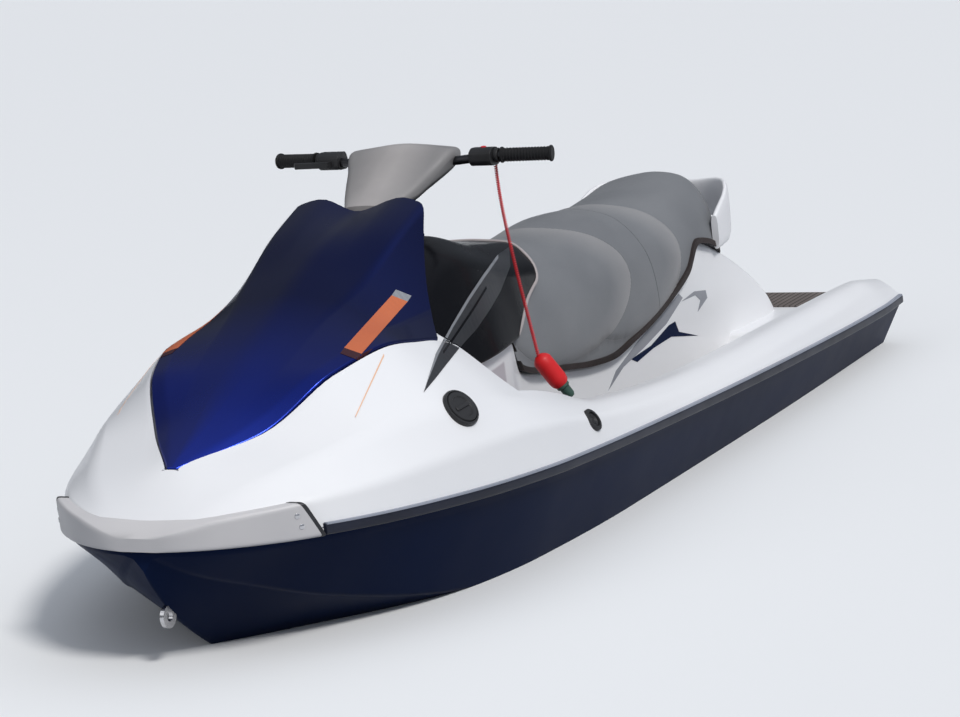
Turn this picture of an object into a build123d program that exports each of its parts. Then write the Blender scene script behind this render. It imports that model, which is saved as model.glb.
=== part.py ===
from build123d import *
import os
from math import cos, sin, tan, radians, degrees, atan2, sqrt, pi

# A three-seat personal watercraft, afloat. Millimetres. +X is the bow, +Y is port, +Z is up.
# The origin is on the centreplane, amidships, at the height of the still waterline.

os.makedirs("parts", exist_ok=True)

# Reach of the cutting tools beyond the craft
wide = 2000.0

# Spacing of the sections along a body
hull_step = 100.0
section_step = 60.0

# Clearances
panel_gap = 6.0
soft_gap = 0.4
seat_gap = 0.3

# Sheer line, where hull and deck are bonded: heights at bow, amidships and stern
sheer_bow_z = 297.0
sheer_mid_z = 196.0
sheer_stern_z = 131.0
sheer_end_x = 1600.0

# Hull sections: place, keel height, chine half width and height, half beam at the sheer
hull_rows = (
    (-1600, -235, 425, -75, 546),
    (-700, -235, 440, -78, 576),
    (200, -234, 445, -70, 577),
    (640, -216, 428, -40, 566),
    (960, -172, 376, 6, 520),
    (1280, -58, 254, 92, 411),
    (1440, 45, 160, 160, 310),
    (1560, 165, 72, 222, 180),
    (1600, 232, 24, 262, 66),
)
chine_lip = 14.0

# Deck sections: half beam at the sheer, crease, crown, inner edge, ridge and centre height
deck_rows = (
    (-1600, 540, 505, 172, 478, 190, 440, 190, 200, 190, 190),
    (-1400, 560, 524, 200, 490, 222, 446, 221, 200, 221, 221),
    (-1000, 572, 547, 209, 506, 234, 461, 233, 200, 233, 233),
    (-300, 578, 555, 223, 511, 250, 464, 248, 200, 248, 248),
    (320, 575, 554, 278, 509, 304, 462, 306, 200, 308, 308),
    (640, 566, 547, 330, 494, 378, 322, 506, 190, 570, 590),
    (800, 549, 531, 348, 472, 420, 300, 566, 160, 704, 735),
    (960, 520, 503, 352, 447, 444, 284, 590, 122, 642, 660),
    (1120, 474, 458, 352, 390, 442, 237, 562, 105, 574, 584),
    (1280, 411, 395, 349, 309, 426, 140, 464, 62, 490, 501),
    (1440, 310, 294, 350, 215, 393, 62, 421, 24, 427, 428),
    (1550, 185, 160, 345, 110, 352, 50, 355, 18, 356, 356),
    (1600, 66, 46, 313, 32, 316, 20, 317, 8, 318, 318),
)

# Hood sections: edge, ridge and centre, from the front tip to the rear edge
hood_rows = (
    (1443, 22, 424, 10, 426, 427),
    (1281, 138, 463, 62, 490, 501),
    (1119, 237, 562, 105, 574, 584),
    (957, 284, 590, 122, 642, 660),
    (795, 300, 566, 160, 705, 737),
    (633, 304, 530, 176, 782, 806),
    (471, 300, 500, 180, 840, 852),
)
hood_wall = 22.0
hood_rear_top_x = 492.0
hood_rear_top_z = 842.0
hood_rear_low_x = 735.0
hood_rear_low_z = 545.0

# Hood hinge at the front tip
hinge_x = 1449.0
hinge_z = 419.0
knuckle_r = 8.0
knuckle_y = 14.0
pin_r = 3.0
pin_gap = 0.05
pin_half = 22.0

# Cowl and console sections behind the hood: foot, flank, shoulder and centre
cowl_rows = (
    (800, 292, 440, 250, 560, 150, 640, 650),
    (490, 296, 440, 215, 690, 150, 742, 748),
    (200, 252, 440, 205, 612, 140, 668, 676),
    (-60, 214, 300, 190, 560, 120, 622, 628),
)
cowl_split_y = 168.0

# Seat sections: foot, flank, shoulder and centre
seat_rows = (
    (260, 238, 240, 224, 460, 104, 560, 590),
    (-60, 232, 240, 214, 486, 114, 590, 620),
    (-296, 230, 240, 208, 476, 118, 566, 594),
    (-514, 228, 240, 206, 486, 122, 578, 604),
    (-732, 228, 240, 206, 476, 122, 562, 588),
    (-950, 228, 240, 208, 484, 126, 568, 594),
    (-1070, 216, 260, 200, 494, 124, 578, 602),
    (-1160, 160, 330, 166, 500, 104, 574, 594),
    (-1225, 60, 400, 92, 500, 56, 562, 576),
)
seat_front_edge = ((-34, 630), (0, 536), (110, 505), (243, 443), (208, 350))
seat_split_x = -626.0

# Pedestal under the seat, in side view, from the cowl back to the tail
pedestal_profile = (
    (640, 33), (640, 440), (250, 440), (212, 352), (84, 315), (-56, 289), (-200, 264), (-330, 253),
    (-450, 268), (-585, 293), (-727, 332), (-838, 371), (-939, 435), (-1000, 424), (-1109, 376),
    (-1234, 298), (-1335, 212), (-1390, 130), (-1390, 33),
)
pedestal_plan = ((640, 292), (440, 280), (84, 226), (-400, 222), (-1000, 222), (-1390, 262))

# Footwells and boarding platform
well_floor_z = 45.0
well_wall = 12.0
well_outer_y = 457.0
well_front_x = 480.0
well_front_top_x = 660.0
well_rear_x = -1010.0
platform_x = -1090.0
platform_z = 150.0

# Storage bin under the hood
bin_x = (900.0, 1220.0)
bin_y = 140.0
bin_floor_z = 120.0
bin_wall = 5.0

# Glove box in the console
glove_x = (60.0, 200.0)
glove_y = 80.0
glove_floor_z = 552.0
lid_thick = 12.0
lid_lap = 14.0
lid_gap = 5.0
lid_hinge_x = 219.0
lid_hinge_z = 668.0
lid_knuckle_y = 30.0

# Grab handle round the seat's rear, in side view, then half of its outer and inner edge in plan
handle_profile = (
    (-1050, 596), (-1180, 594), (-1262, 578), (-1304, 540), (-1312, 494), (-1282, 450), (-1208, 422),
    (-1150, 400), (-1120, 352), (-1050, 352),
)
handle_outer = ((-1050, 232), (-1140, 228), (-1210, 205), (-1270, 155), (-1306, 80), (-1312, 0))
handle_inner = ((-1050, 214), (-1132, 210), (-1196, 188), (-1250, 142), (-1284, 74), (-1290, 0))
handle_bar_y = 130.0
handle_bar_z = (468.0, 540.0)

# Jet pump: its tunnel, then its parts by their distance behind the tunnel's front
tunnel_front_x = -1200.0
tunnel_y = 130.0
tunnel_top_z = -10.0
pump_r = 78.0
pump_wall = 8.0
pump_flange = 14.0
pump_z = -120.0
pump_cone_x = (tunnel_front_x - 190, tunnel_front_x - 232, tunnel_front_x - 280)
outlet_r = 52.0
nozzle_pivot_x = tunnel_front_x - 275
nozzle_pin_r = 6.0
funnel_sides = 32

# Water intake, in side view
duct_profile = (
    (tunnel_front_x - 5, -42), (tunnel_front_x - 5, -198), (-1150, -300), (-740, -300), (-860, -180),
    (-1040, -70),
)
duct_y = 70.0
shaft_r = 12.0
shaft_gap = 0.06

# Engine and its bay
engine_size = (540.0, 360.0, 350.0)
engine_x = -50.0
engine_floor_z = -135.0
bay_room = 15.0

# Steering
steer_x = 250.0
steer_z = 905.0
steer_tilt = 20.0
bar_r = 11.0
grip_r = 17.0
grip_long = 125.0
bar_points = ((212, 382, 893), (240, 250, 897), (262, 95, 885))
sleeve_gap = 0.3
stem_r = 24.0
stem_top = 40.0
stem_end = 188.0
base_top = 125.0
base_end = 240.0
base_top_r = 40.0
base_foot_r = 66.0
housing_y = (182.0, 246.0)
housing_size = (52.0, 46.0)

# Handlebar pad sections: low centre, low edge, high edge, high centre
pad_rows = (
    (478, 804, 56, 806, 58, 820, 824),
    (408, 800, 88, 810, 96, 846, 866),
    (338, 812, 112, 836, 124, 884, 904),
    (268, 838, 132, 862, 150, 920, 938),
    (198, 862, 120, 872, 132, 912, 926),
)

# Dash behind the hood, in side view
dash_profile = ((506, 742), (500, 796), (484, 792), (438, 752), (438, 700), (506, 700))
dash_y = 120.0

# Bow bumper and rub rails: place, half beam, low and high
bumper_rows = (
    (1380, 348, -16, 352),
    (1440, 310, -16, 352),
    (1500, 254, -16, 350),
    (1560, 178, -16, 344),
    (1600, 98, -16, 326),
    (1614, 44, -16, 312),
)
bumper_proud = 12.0
rail_proud = 9.0
rail_low = 14.0
rail_high = 12.0
bumper_end_low_x = 1400.0
bumper_end_high_x = 1440.0

# Mats, cap and small fittings
mat_thick = 4.0
cap_place = (932.0, 456.0, 437.0)
cap_r = 51.0

# Lanyard: its route from the switch housing, then the float and the clip at its end
lanyard_points = ((232, 238, 872), (232, 238, 800), (263, 276, 640), (292, 311, 524), (314, 342, 412))
lanyard_r = 5.0
float_end = (288, 386, 332)
float_r = 24.0
clip_end = (278, 402, 302)
clip_r = 13.0

# Small fittings: display, breather in the side of the deck, throttle lever
display_profile = ((478, 786.8), (444, 757.2), (440.7, 761), (474.7, 790.6))
display_y = 70.0
vent_place = (470.0, 553.0, 293.0)
vent_r = 30.0
lever_plan = ((269, -202), (286, -205), (292, -296), (281, -304), (274, -240), (269, -238))
lever_z = (884.0, 898.0)

# Grate and towing eyes
grate_x = (tunnel_front_x + 4, -800.0)
grate_z = -216.0
grate_bars = 3
bow_eye_x = 1532.0
bow_eye_z = 112.0
bow_eye_r = 26.0
eye_hole_r = 11.0
stern_eye_x = -sheer_end_x - 12
stern_eye_y = 300.0
stern_eye_z = 60.0
stern_eye_r = 7.0


def ring_points(x, half):
    """Points of a closed section at x from half an outline, from the bottom centre to the top centre."""
    port = [Vector(x, y, z) for y, z in half]
    starboard = [Vector(x, -y, z) for y, z in reversed(half) if y > 0]
    return port + starboard


def flat_face(points):
    return Face(Wire.make_polygon(points, close=True))


def ring(x, half):
    return flat_face(ring_points(x, half))


def plate(points, y0, y1):
    """A side-view outline of (x, z) points, made solid between two Y places."""
    face = Face(Wire.make_polygon([Vector(x, y0, z) for x, z in points], close=True))
    return extrude(face, amount=y1 - y0, dir=(0, 1, 0))


def slab(points, z0, z1):
    """A plan outline of (x, y) points, made solid between two heights."""
    face = Face(Wire.make_polygon([Vector(x, y, z0) for x, y in points], close=True))
    return extrude(face, amount=z1 - z0, dir=(0, 0, 1))


def block(x0, x1, y0, y1, z0, z1):
    return Pos((x0 + x1) / 2, (y0 + y1) / 2, (z0 + z1) / 2) * Box(x1 - x0, y1 - y0, z1 - z0)


def rod(a, b, r):
    """A round bar from point a to point b."""
    a, b = Vector(*a), Vector(*b)
    plane = Plane(origin=a, z_dir=(b - a).normalized())
    return extrude(plane * Circle(r), amount=(b - a).length)


def above_sheer(rise=0.0):
    """Everything above the sheer line, raised by some height."""
    sweep = ThreePointArc(
        (-sheer_end_x, -wide, sheer_stern_z + rise),
        (0, -wide, sheer_mid_z + rise),
        (sheer_end_x, -wide, sheer_bow_z + rise),
    )
    left, right = sweep @ 0, sweep @ 1
    rim = [
        sweep,
        Line(right, (wide, -wide, sheer_bow_z + rise + 12)),
        Line((wide, -wide, sheer_bow_z + rise + 12), (wide, -wide, wide)),
        Line((wide, -wide, wide), (-wide, -wide, wide)),
        Line((-wide, -wide, wide), (-wide, -wide, sheer_stern_z + rise - 12)),
        Line((-wide, -wide, sheer_stern_z + rise - 12), left),
    ]
    return extrude(Face(Wire(rim)), amount=2 * wide, dir=(0, 1, 0))


def sheer_z(x):
    """Height of the sheer line at x, by the circle through its three points."""
    x1, z1 = -sheer_end_x, sheer_stern_z
    x3, z3 = sheer_end_x, sheer_bow_z
    slope = (z3 - z1) / (x3 - x1)
    chord = z1 + slope * (x - x1)
    sag = (z1 + z3) / 2 - sheer_mid_z
    return chord - sag * (1 - (x / sheer_end_x) ** 2)


def export(node, shape):
    solids = shape.solids() if hasattr(shape, "solids") else shape
    shape = Compound(children=list(solids)) if len(solids) > 1 else solids[0]
    export_step(shape, "parts/" + node + ".step")


def bar_y(x, z, r, half):
    """A round bar across the craft."""
    return rod((x, -half, z), (x, half, z), r)


def taper(a, b, r0, r1):
    """A tapered body of flat sides from point a to point b."""
    a, b = Vector(*a), Vector(*b)
    plane = Plane(origin=a, z_dir=(b - a).normalized())
    turns = [2 * pi * k / funnel_sides for k in range(funnel_sides)]
    ways = [plane.x_dir * cos(t) + plane.y_dir * sin(t) for t in turns]
    low, high = [a + way * r0 for way in ways], [b + way * r1 for way in ways]
    faces = [flat_face(low), flat_face(high)]
    for k in range(funnel_sides):
        n = (k + 1) % funnel_sides
        faces.append(flat_face([low[k], low[n], high[n], high[k]]))
    return Solid(Shell(faces))


def funnel(x0, x1, r0, r1):
    """A tapered body of flat sides along the pump's axis."""
    return taper((x0, 0, pump_z), (x1, 0, pump_z), r0, r1)


def both_sides(shape):
    return [shape, mirror(shape, about=Plane.XZ)]


def slopes(xs, values):
    """Slopes of a smooth curve that never passes beyond the values it joins."""
    rise = [(v1 - v0) / (x1 - x0) for x0, x1, v0, v1 in zip(xs, xs[1:], values, values[1:])]
    inner = [0 if a * b <= 0 else 2 * a * b / (a + b) for a, b in zip(rise, rise[1:])]
    return [rise[0]] + inner + [rise[-1]]


def smooth_rows(rows, step):
    """Rows at an even step, on smooth curves through each column of a table."""
    rows = sorted(rows)
    columns = list(zip(*rows))
    xs = columns[0]
    count = max(1, round((xs[-1] - xs[0]) / step))
    tangents = [slopes(xs, column) for column in columns[1:]]
    result = []
    for k in range(count + 1):
        x = xs[0] + (xs[-1] - xs[0]) * k / count
        left = max(i for i in range(len(xs) - 1) if xs[i] <= x + 1e-6)
        span = xs[left + 1] - xs[left]
        t = (x - xs[left]) / span
        row = [x]
        for column, tangent in zip(columns[1:], tangents):
            v0, v1, m0, m1 = column[left], column[left + 1], tangent[left] * span, tangent[left + 1] * span
            row.append(
                v0 * (2 * t**3 - 3 * t**2 + 1) + m0 * (t**3 - 2 * t**2 + t)
                + v1 * (3 * t**2 - 2 * t**3) + m1 * (t**3 - t**2)
            )
        result.append(tuple(row))
    return result


def skin(rows, step, outline):
    """A body of flat facets through sections at an even step; outline turns a row into half a section."""
    rings = [ring_points(row[0], outline(*row[1:], row[0])) for row in smooth_rows(rows, step)]
    faces = [flat_face(rings[0]), flat_face(rings[-1])]
    for a, b in zip(rings, rings[1:]):
        for k in range(len(a)):
            n = (k + 1) % len(a)
            if (a[k] - b[n]).length < (a[n] - b[k]).length:
                faces += [flat_face([a[k], b[k], b[n]]), flat_face([a[k], b[n], a[n]])]
            else:
                faces += [flat_face([a[k], b[k], a[n]]), flat_face([a[n], b[k], b[n]])]
    return Solid(Shell(faces))


def hull_outline(keel_z, chine_y, chine_z, beam_y, x):
    top = sheer_z(x)
    return [
        (0, keel_z),
        (chine_y, chine_z),
        (chine_y + chine_lip, chine_z + 4),
        (beam_y - 14, top - 26),
        (beam_y, top - 1),
        (beam_y, top + 50),
        (0, top + 50),
    ]


def deck_outline(b, y1, z1, y2, z2, y3, z3, ym, zm, zc, x):
    low = sheer_z(x)
    return [(0, low - 50), (b, low - 50), (b, low + 14), (y1, z1), (y2, z2), (y3, z3), (ym, zm), (0, zc)]


def simple_outline(yf, zf, yk, zk, ys, zs, zc, x):
    return [(0, zf), (yf, zf), (yk, zk), (ys, zs), (0, zc)]


def hood_slice(grow, drop, rise):
    """The hood's body, grown sideways, from drop below its outer face to rise above it."""
    def outline(ye, ze, ym, zm, zc, x):
        return [
            (0, zc - drop), (ym, zm - drop), (ye + grow, ze - drop - 1.3 * grow),
            (ye + grow, ze + rise), (ym, zm + rise), (0, zc + rise),
        ]
    body = skin(hood_rows, section_step, outline)
    if grow:
        tip = max(hood_rows)
        half = [(0, tip[5] - drop), (tip[1] + grow, tip[2] - drop), (tip[1] + grow, tip[2] + rise), (0, tip[5] + rise)]
        body += extrude(ring(tip[0], half), amount=grow, dir=(1, 0, 0))
    return body


def behind_hood(gap):
    """Everything behind the hood's sloping rear edge, moved back by a gap."""
    run = hood_rear_low_x - hood_rear_top_x
    fall = hood_rear_top_z - hood_rear_low_z
    up_x = hood_rear_top_x - run * (1500 - hood_rear_top_z) / fall
    down_x = hood_rear_low_x + run * (hood_rear_low_z - 0) / fall
    return plate([(up_x - gap, 1500), (down_x - gap, 0), (-wide, 0), (-wide, 1500)], -wide, wide)


def ahead_of_seat(gap):
    """Everything ahead of the seat's front edge, which comes forward down its sides, moved forward by a gap."""
    edge = [(x + gap, z) for x, z in seat_front_edge]
    (first_x, _), (last_x, _) = edge[0], edge[-1]
    return plate([(first_x - 40, 1500)] + edge + [(last_x - 20, 0), (wide, 0), (wide, 1500)], -wide, wide)


def pedestal():
    side = plate(pedestal_profile, -400, 400)
    outline = [(x, y) for x, y in pedestal_plan] + [(x, -y) for x, y in reversed(pedestal_plan)]
    return side & slab(outline, 0, 600)


def well_tool(wall):
    """The space of both footwells and the platform, grown by a wall on the floor and sides."""
    profile = [
        (well_front_x + wall, well_floor_z - wall),
        (well_front_top_x + wall, 420),
        (well_front_top_x + wall, 700),
        (-wide, 700),
        (-wide, platform_z - wall),
        (platform_x + wall, platform_z - wall),
        (well_rear_x - wall, well_floor_z - wall),
    ]
    return plate(profile, -well_outer_y - wall, well_outer_y + wall)


above = above_sheer()
hull_body = skin(hull_rows, hull_step, hull_outline)
deck_body = skin(deck_rows, hull_step, deck_outline)
ped = pedestal()
tub = (well_tool(well_wall) & block(platform_x - 20, wide, -wide, wide, 0, 300)) - above
well = well_tool(0)
hood_room = hood_slice(panel_gap, hood_wall + panel_gap, 200)
knuckle_room = bar_y(hinge_x, hinge_z, knuckle_r + 3, knuckle_y + 2) + bar_y(hinge_x, hinge_z, pin_r, pin_half)

# Cavities shared by hull and deck
bay = block(
    engine_x - engine_size[0] / 2 - bay_room, engine_x + engine_size[0] / 2 + bay_room,
    -engine_size[1] / 2 - bay_room, engine_size[1] / 2 + bay_room,
    engine_floor_z, engine_floor_z + engine_size[2] + bay_room,
)
bin_box = block(bin_x[0], bin_x[1], -bin_y, bin_y, bin_floor_z, 760)
tunnel = block(-wide, tunnel_front_x, -tunnel_y, tunnel_y, -300, tunnel_top_z)
duct = plate(duct_profile, -duct_y, duct_y)
shaft_hole = rod((tunnel_front_x - 5, 0, pump_z), (engine_x, 0, pump_z), shaft_r + shaft_gap)

# Hull and deck
hull = hull_body - above
hull = hull - tub
hull = hull - bay - bin_box - tunnel - duct - shaft_hole
export("hull", hull)
deck = (deck_body & above) - hood_room
deck = deck + tub - well + (ped & above) + (ped & tub) - bay - bin_box - knuckle_room
export("deck", deck)

# Storage bin under the hood
bin_room = hood_slice(60, hood_wall + panel_gap + 2, 260)
bin_shell = bin_box - bin_room
bin_shell -= block(
    bin_x[0] + bin_wall, bin_x[1] - bin_wall, -bin_y + bin_wall, bin_y - bin_wall, bin_floor_z + bin_wall, 800
)
export("storage_bin", bin_shell)

# Hood
hood = hood_slice(0, hood_wall, 0) - behind_hood(0)
hood = hood + bar_y(hinge_x, hinge_z, knuckle_r, knuckle_y) - bar_y(hinge_x, hinge_z, pin_r + pin_gap, 40)
export("hood", hood)

# Console and side cowls
cowl_body = skin(cowl_rows, section_step, simple_outline)
cowl = (cowl_body & behind_hood(panel_gap)) & ahead_of_seat(soft_gap)
cowl = cowl - deck - hood_room - bay
middle = block(-wide, wide, -cowl_split_y, cowl_split_y, 0, 1200)
glove = block(glove_x[0], glove_x[1], -glove_y, glove_y, glove_floor_z, 800)
lid_layer = cowl_body - Pos(0, 0, -lid_thick) * cowl_body
lid_slot = block(glove_x[0] - lid_lap, lid_hinge_x + 11, -glove_y - lid_lap, glove_y + lid_lap, 560, 800)
lid_body = block(
    glove_x[0] - lid_lap + lid_gap, glove_x[1] + lid_lap - lid_gap,
    -glove_y - lid_lap + lid_gap, glove_y + lid_lap - lid_gap, 560, 800,
)
lid = (lid_layer & lid_body) + bar_y(lid_hinge_x, lid_hinge_z, knuckle_r, lid_knuckle_y)
lid = lid + block(glove_x[1], lid_hinge_x, -lid_knuckle_y, lid_knuckle_y, lid_hinge_z - 1, lid_hinge_z + 7)
lid = lid - bar_y(lid_hinge_x, lid_hinge_z, pin_r + pin_gap, 60)
export("glove_lid", lid)
lid_pin = bar_y(lid_hinge_x, lid_hinge_z, pin_r, lid_knuckle_y + 12)
export("lid_pin", lid_pin)
lid_room = (lid_layer & lid_slot) + bar_y(lid_hinge_x, lid_hinge_z, knuckle_r + 4, lid_knuckle_y + 2) + lid_pin
lid_room = lid_room + block(lid_hinge_x - 14, lid_hinge_x, -lid_knuckle_y - 2, lid_knuckle_y + 2, lid_hinge_z, 760)
export("console", (cowl & middle) - glove - lid_room)
side_cowl = cowl & block(-wide, wide, cowl_split_y, 600, 0, 1200)
for node, shape in zip(("side_cowl_port", "side_cowl_starboard"), both_sides(side_cowl)):
    export(node, shape)

# Seats
seat = skin(seat_rows, section_step, simple_outline) - plate(pedestal_profile, -400, 400) - ahead_of_seat(0)
export("seat_front", seat & block(seat_split_x + seat_gap, wide, -600, 600, 0, 1200))
export("seat_rear", seat & block(-wide, seat_split_x, -600, 600, 0, 1200))

# Grab handle
handle = plate(handle_profile, -300, 300)
for edge, keep in ((handle_outer, True), (handle_inner, False)):
    half = list(edge) + [(x, -y) for x, y in reversed(edge) if y > 0]
    column = slab(half + [(0, -edge[0][1]), (0, edge[0][1])], 0, 900)
    handle = handle & column if keep else handle - column
for low, high in ((300, handle_bar_z[0]), (handle_bar_z[1], 700)):
    handle -= block(-1400, -1200, -handle_bar_y, handle_bar_y, low, high)
handle = handle - ped
export("grab_handle", handle)

# Engine
engine = block(
    engine_x - engine_size[0] / 2, engine_x + engine_size[0] / 2, -engine_size[1] / 2, engine_size[1] / 2,
    engine_floor_z + seat_gap, engine_floor_z + engine_size[2],
)
export("engine", engine)
export("hood_pin", bar_y(hinge_x, hinge_z, pin_r, pin_half))

# Dash
dash = plate(dash_profile, -dash_y, dash_y) - cowl - deck
export("dash", dash)

# Steering: base, stem, bar, pad, grips and housings
tilt = radians(steer_tilt)


def on_axis(t):
    """A point on the steering axis, t below the bar."""
    return (steer_x + t * sin(tilt), 0, steer_z - t * cos(tilt))


base = taper(on_axis(base_end), on_axis(base_top), base_foot_r, base_top_r) - cowl
base -= rod(on_axis(stem_end + 4), on_axis(base_top - 10), stem_r + pin_gap)
export("steering_base", base)
stem = rod(on_axis(stem_end), on_axis(stem_top), stem_r)
export("steering_stem", stem)

bar_path = [Vector(x, -y, z) for x, y, z in bar_points] + [Vector(*p) for p in reversed(bar_points)]
bar_line = Polyline(*bar_path)
bar_start = Plane(origin=bar_line @ 0, z_dir=bar_line % 0)
bar_tube = sweep(bar_start * Circle(bar_r), path=bar_line, transition=Transition.RIGHT)
bar_room = sweep(bar_start * Circle(bar_r + sleeve_gap), path=bar_line, transition=Transition.RIGHT)
bar = bar_tube - stem
export("handlebar", bar)

end = Vector(*bar_points[0])
bend = Vector(*bar_points[1])
along = (end - bend).normalized()
grip = rod(end - along * grip_long, end + along * 5, grip_r) - rod(end - along * 400, end, bar_r + sleeve_gap)
for node, shape in zip(("grip_port", "grip_starboard"), both_sides(grip)):
    export(node, shape)

mid = (Vector(*bar_points[1]) + Vector(*bar_points[2])) * 0.5
housing = block(
    mid.X - 8 - housing_size[0] / 2, mid.X - 8 + housing_size[0] / 2, housing_y[0], housing_y[1],
    mid.Z - housing_size[1] / 2 + 4, mid.Z + housing_size[1] / 2 + 4,
)
for node, shape in zip(("switch_housing", "throttle_housing"), both_sides(housing - bar_room)):
    export(node, shape)


def pad_outline(low_c, low_y, low_z, high_y, high_z, high_c, x):
    return [(0, low_c), (low_y, low_z), (high_y, high_z), (0, high_c)]


pad = skin(pad_rows, 40, pad_outline) - rod(on_axis(300), on_axis(stem_top), stem_r + sleeve_gap)
export("bar_pad", pad - bar_room)

# Bow bumper and rub rails
def bumper_outline(y, low, high, x):
    return [
        (0, sheer_z(x) + low), (y + bumper_proud, sheer_z(x) + low), (y + bumper_proud, high), (0, high),
    ]


bumper = skin(bumper_rows, 40, bumper_outline) - deck_body - hull_body
bumper = bumper - plate([
    (bumper_end_low_x, 0), (bumper_end_low_x, 270), (bumper_end_high_x, 360), (bumper_end_high_x, 900), (0, 900), (0, 0),
], -wide, wide)
export("bow_bumper", bumper)


def rail_outline(b, *rest):
    low = sheer_z(rest[-1])
    return [(0, low - rail_low), (b + rail_proud, low - rail_low), (b + rail_proud, low + rail_high),
            (0, low + rail_high)]


rails = skin(deck_rows, hull_step, rail_outline)
rails = rails - deck_body - hull_body - block(bumper_end_low_x - 2, wide, -wide, wide, 0, 900)
rail = rails & block(-wide, wide, 0, wide, -500, 900)
for node, shape in zip(("rub_rail_port", "rub_rail_starboard"), both_sides(rail)):
    export(node, shape)

# Mats
foot_mat = block(well_rear_x + 15, well_front_x - 15, 0, well_outer_y - 12, well_floor_z, well_floor_z + mat_thick)
foot_mat = foot_mat - slab([(x, y + 10) for x, y in pedestal_plan] + [(-1390, -10), (640, -10)], 0, 600)
for node, shape in zip(("foot_mat_port", "foot_mat_starboard"), both_sides(foot_mat)):
    export(node, shape)
platform_mat = block(-1590, -1405, -430, 430, platform_z, platform_z + mat_thick)
export("platform_mat", platform_mat)

# Fuel cap
cap = rod((cap_place[0], cap_place[1] - 30, cap_place[2] - 20), (cap_place[0], cap_place[1] + 12, cap_place[2] + 8), cap_r)
export("fuel_cap", cap - deck)

# Jet pump, ride plate and grate
plate_half = [(0, -234), (tunnel_y - seat_gap, -188), (tunnel_y - seat_gap, -180), (0, -224)]
ride = ring(-sheer_end_x, plate_half)
ride = extrude(ride, amount=sheer_end_x + tunnel_front_x - seat_gap, dir=(1, 0, 0))
export("ride_plate", ride)
pump = funnel(tunnel_front_x - 14, tunnel_front_x, pump_r + pump_flange, pump_r + pump_flange)
pump += funnel(pump_cone_x[0], tunnel_front_x, pump_r + pump_wall, pump_r + pump_wall)
pump -= funnel(pump_cone_x[0] - 10, tunnel_front_x + 10, pump_r, pump_r)
pump += funnel(tunnel_front_x - 185, tunnel_front_x - 110, 34, 34)
for k in range(3):
    pump += Pos(tunnel_front_x - 150, 0, pump_z) * (Rot(X=60 * k) * Box(70, pump_r * 2 + 4, 5))
pump += funnel(pump_cone_x[0], pump_cone_x[1], pump_r + pump_wall, outlet_r)
pump += funnel(pump_cone_x[1], pump_cone_x[2], outlet_r, outlet_r - 2)
pump -= funnel(pump_cone_x[0] + 0.1, pump_cone_x[1], pump_r, outlet_r - 6)
pump -= funnel(pump_cone_x[1] + 0.1, pump_cone_x[2] - 0.1, outlet_r - 6, outlet_r - 8)
pivot_pin = rod((nozzle_pivot_x, 0, pump_z - 82), (nozzle_pivot_x, 0, pump_z + 82), nozzle_pin_r)
pump += pivot_pin - rod((nozzle_pivot_x - 30, 0, pump_z), (nozzle_pivot_x + 30, 0, pump_z), outlet_r - 4)
export("pump_housing", pump)

shaft = rod((tunnel_front_x - 105, 0, pump_z), (engine_x - engine_size[0] / 2 - 6, 0, pump_z), shaft_r)
impeller_hub = rod((tunnel_front_x - 105, 0, pump_z), (tunnel_front_x - 25, 0, pump_z), 30)
impeller = shaft + impeller_hub
blade_count = 3
for k in range(blade_count):
    turn = 360 / blade_count * k
    blade = Rot(X=turn) * (Pos(0, (pump_r - 5) / 2 + 4, 0) * Rot(Y=35) * Box(78, pump_r - 13, 5))
    impeller += Pos(tunnel_front_x - 65, 0, pump_z) * blade
export("impeller", impeller)

nozzle = funnel(nozzle_pivot_x + 15, nozzle_pivot_x - 85, 77, 56)
nozzle -= funnel(nozzle_pivot_x + 15.1, nozzle_pivot_x - 85.1, 72, 50)
nozzle -= rod((nozzle_pivot_x, 0, pump_z - 90), (nozzle_pivot_x, 0, pump_z + 90), nozzle_pin_r + pin_gap)
export("nozzle", nozzle)

# Intake grate: side rails, end bars and long bars between the walls of the duct
grate = block(grate_x[0], grate_x[0] + 14, -duct_y, duct_y, grate_z, grate_z + 12)
grate += block(-850, grate_x[1], -duct_y, duct_y, grate_z, grate_z + 12)
for k in range(grate_bars):
    y = -duct_y + (k + 0.5) * 2 * duct_y / grate_bars
    grate += block(grate_x[0], grate_x[1], y - 4, y + 4, grate_z, grate_z + 12)
export("intake_grate", grate & duct)

# Sponsons on the hull's sides, bow eye and stern eyes
sponson = block(-1450, -1060, 425, 492, -58, -26) - hull_body
sponson = sponson & slab([(-1460, 380), (-1460, 486), (-1180, 490), (-1040, 462), (-1040, 380)], -100, 0)
for node, shape in zip(("sponson_port", "sponson_starboard"), both_sides(sponson)):
    export(node, shape)
eye = taper((bow_eye_x, -5, bow_eye_z), (bow_eye_x, 5, bow_eye_z), bow_eye_r, bow_eye_r)
eye -= bar_y(bow_eye_x, bow_eye_z, eye_hole_r, 20)
export("bow_eye", eye - hull_body)
stern_eye = block(
    stern_eye_x - 14, -sheer_end_x, stern_eye_y - 20, stern_eye_y + 20, stern_eye_z, stern_eye_z + 10
)
stern_eye -= rod(
    (stern_eye_x, stern_eye_y, stern_eye_z - 5), (stern_eye_x, stern_eye_y, stern_eye_z + 15), stern_eye_r
)
for node, shape in zip(("stern_eye_port", "stern_eye_starboard"), both_sides(stern_eye)):
    export(node, shape)

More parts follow.
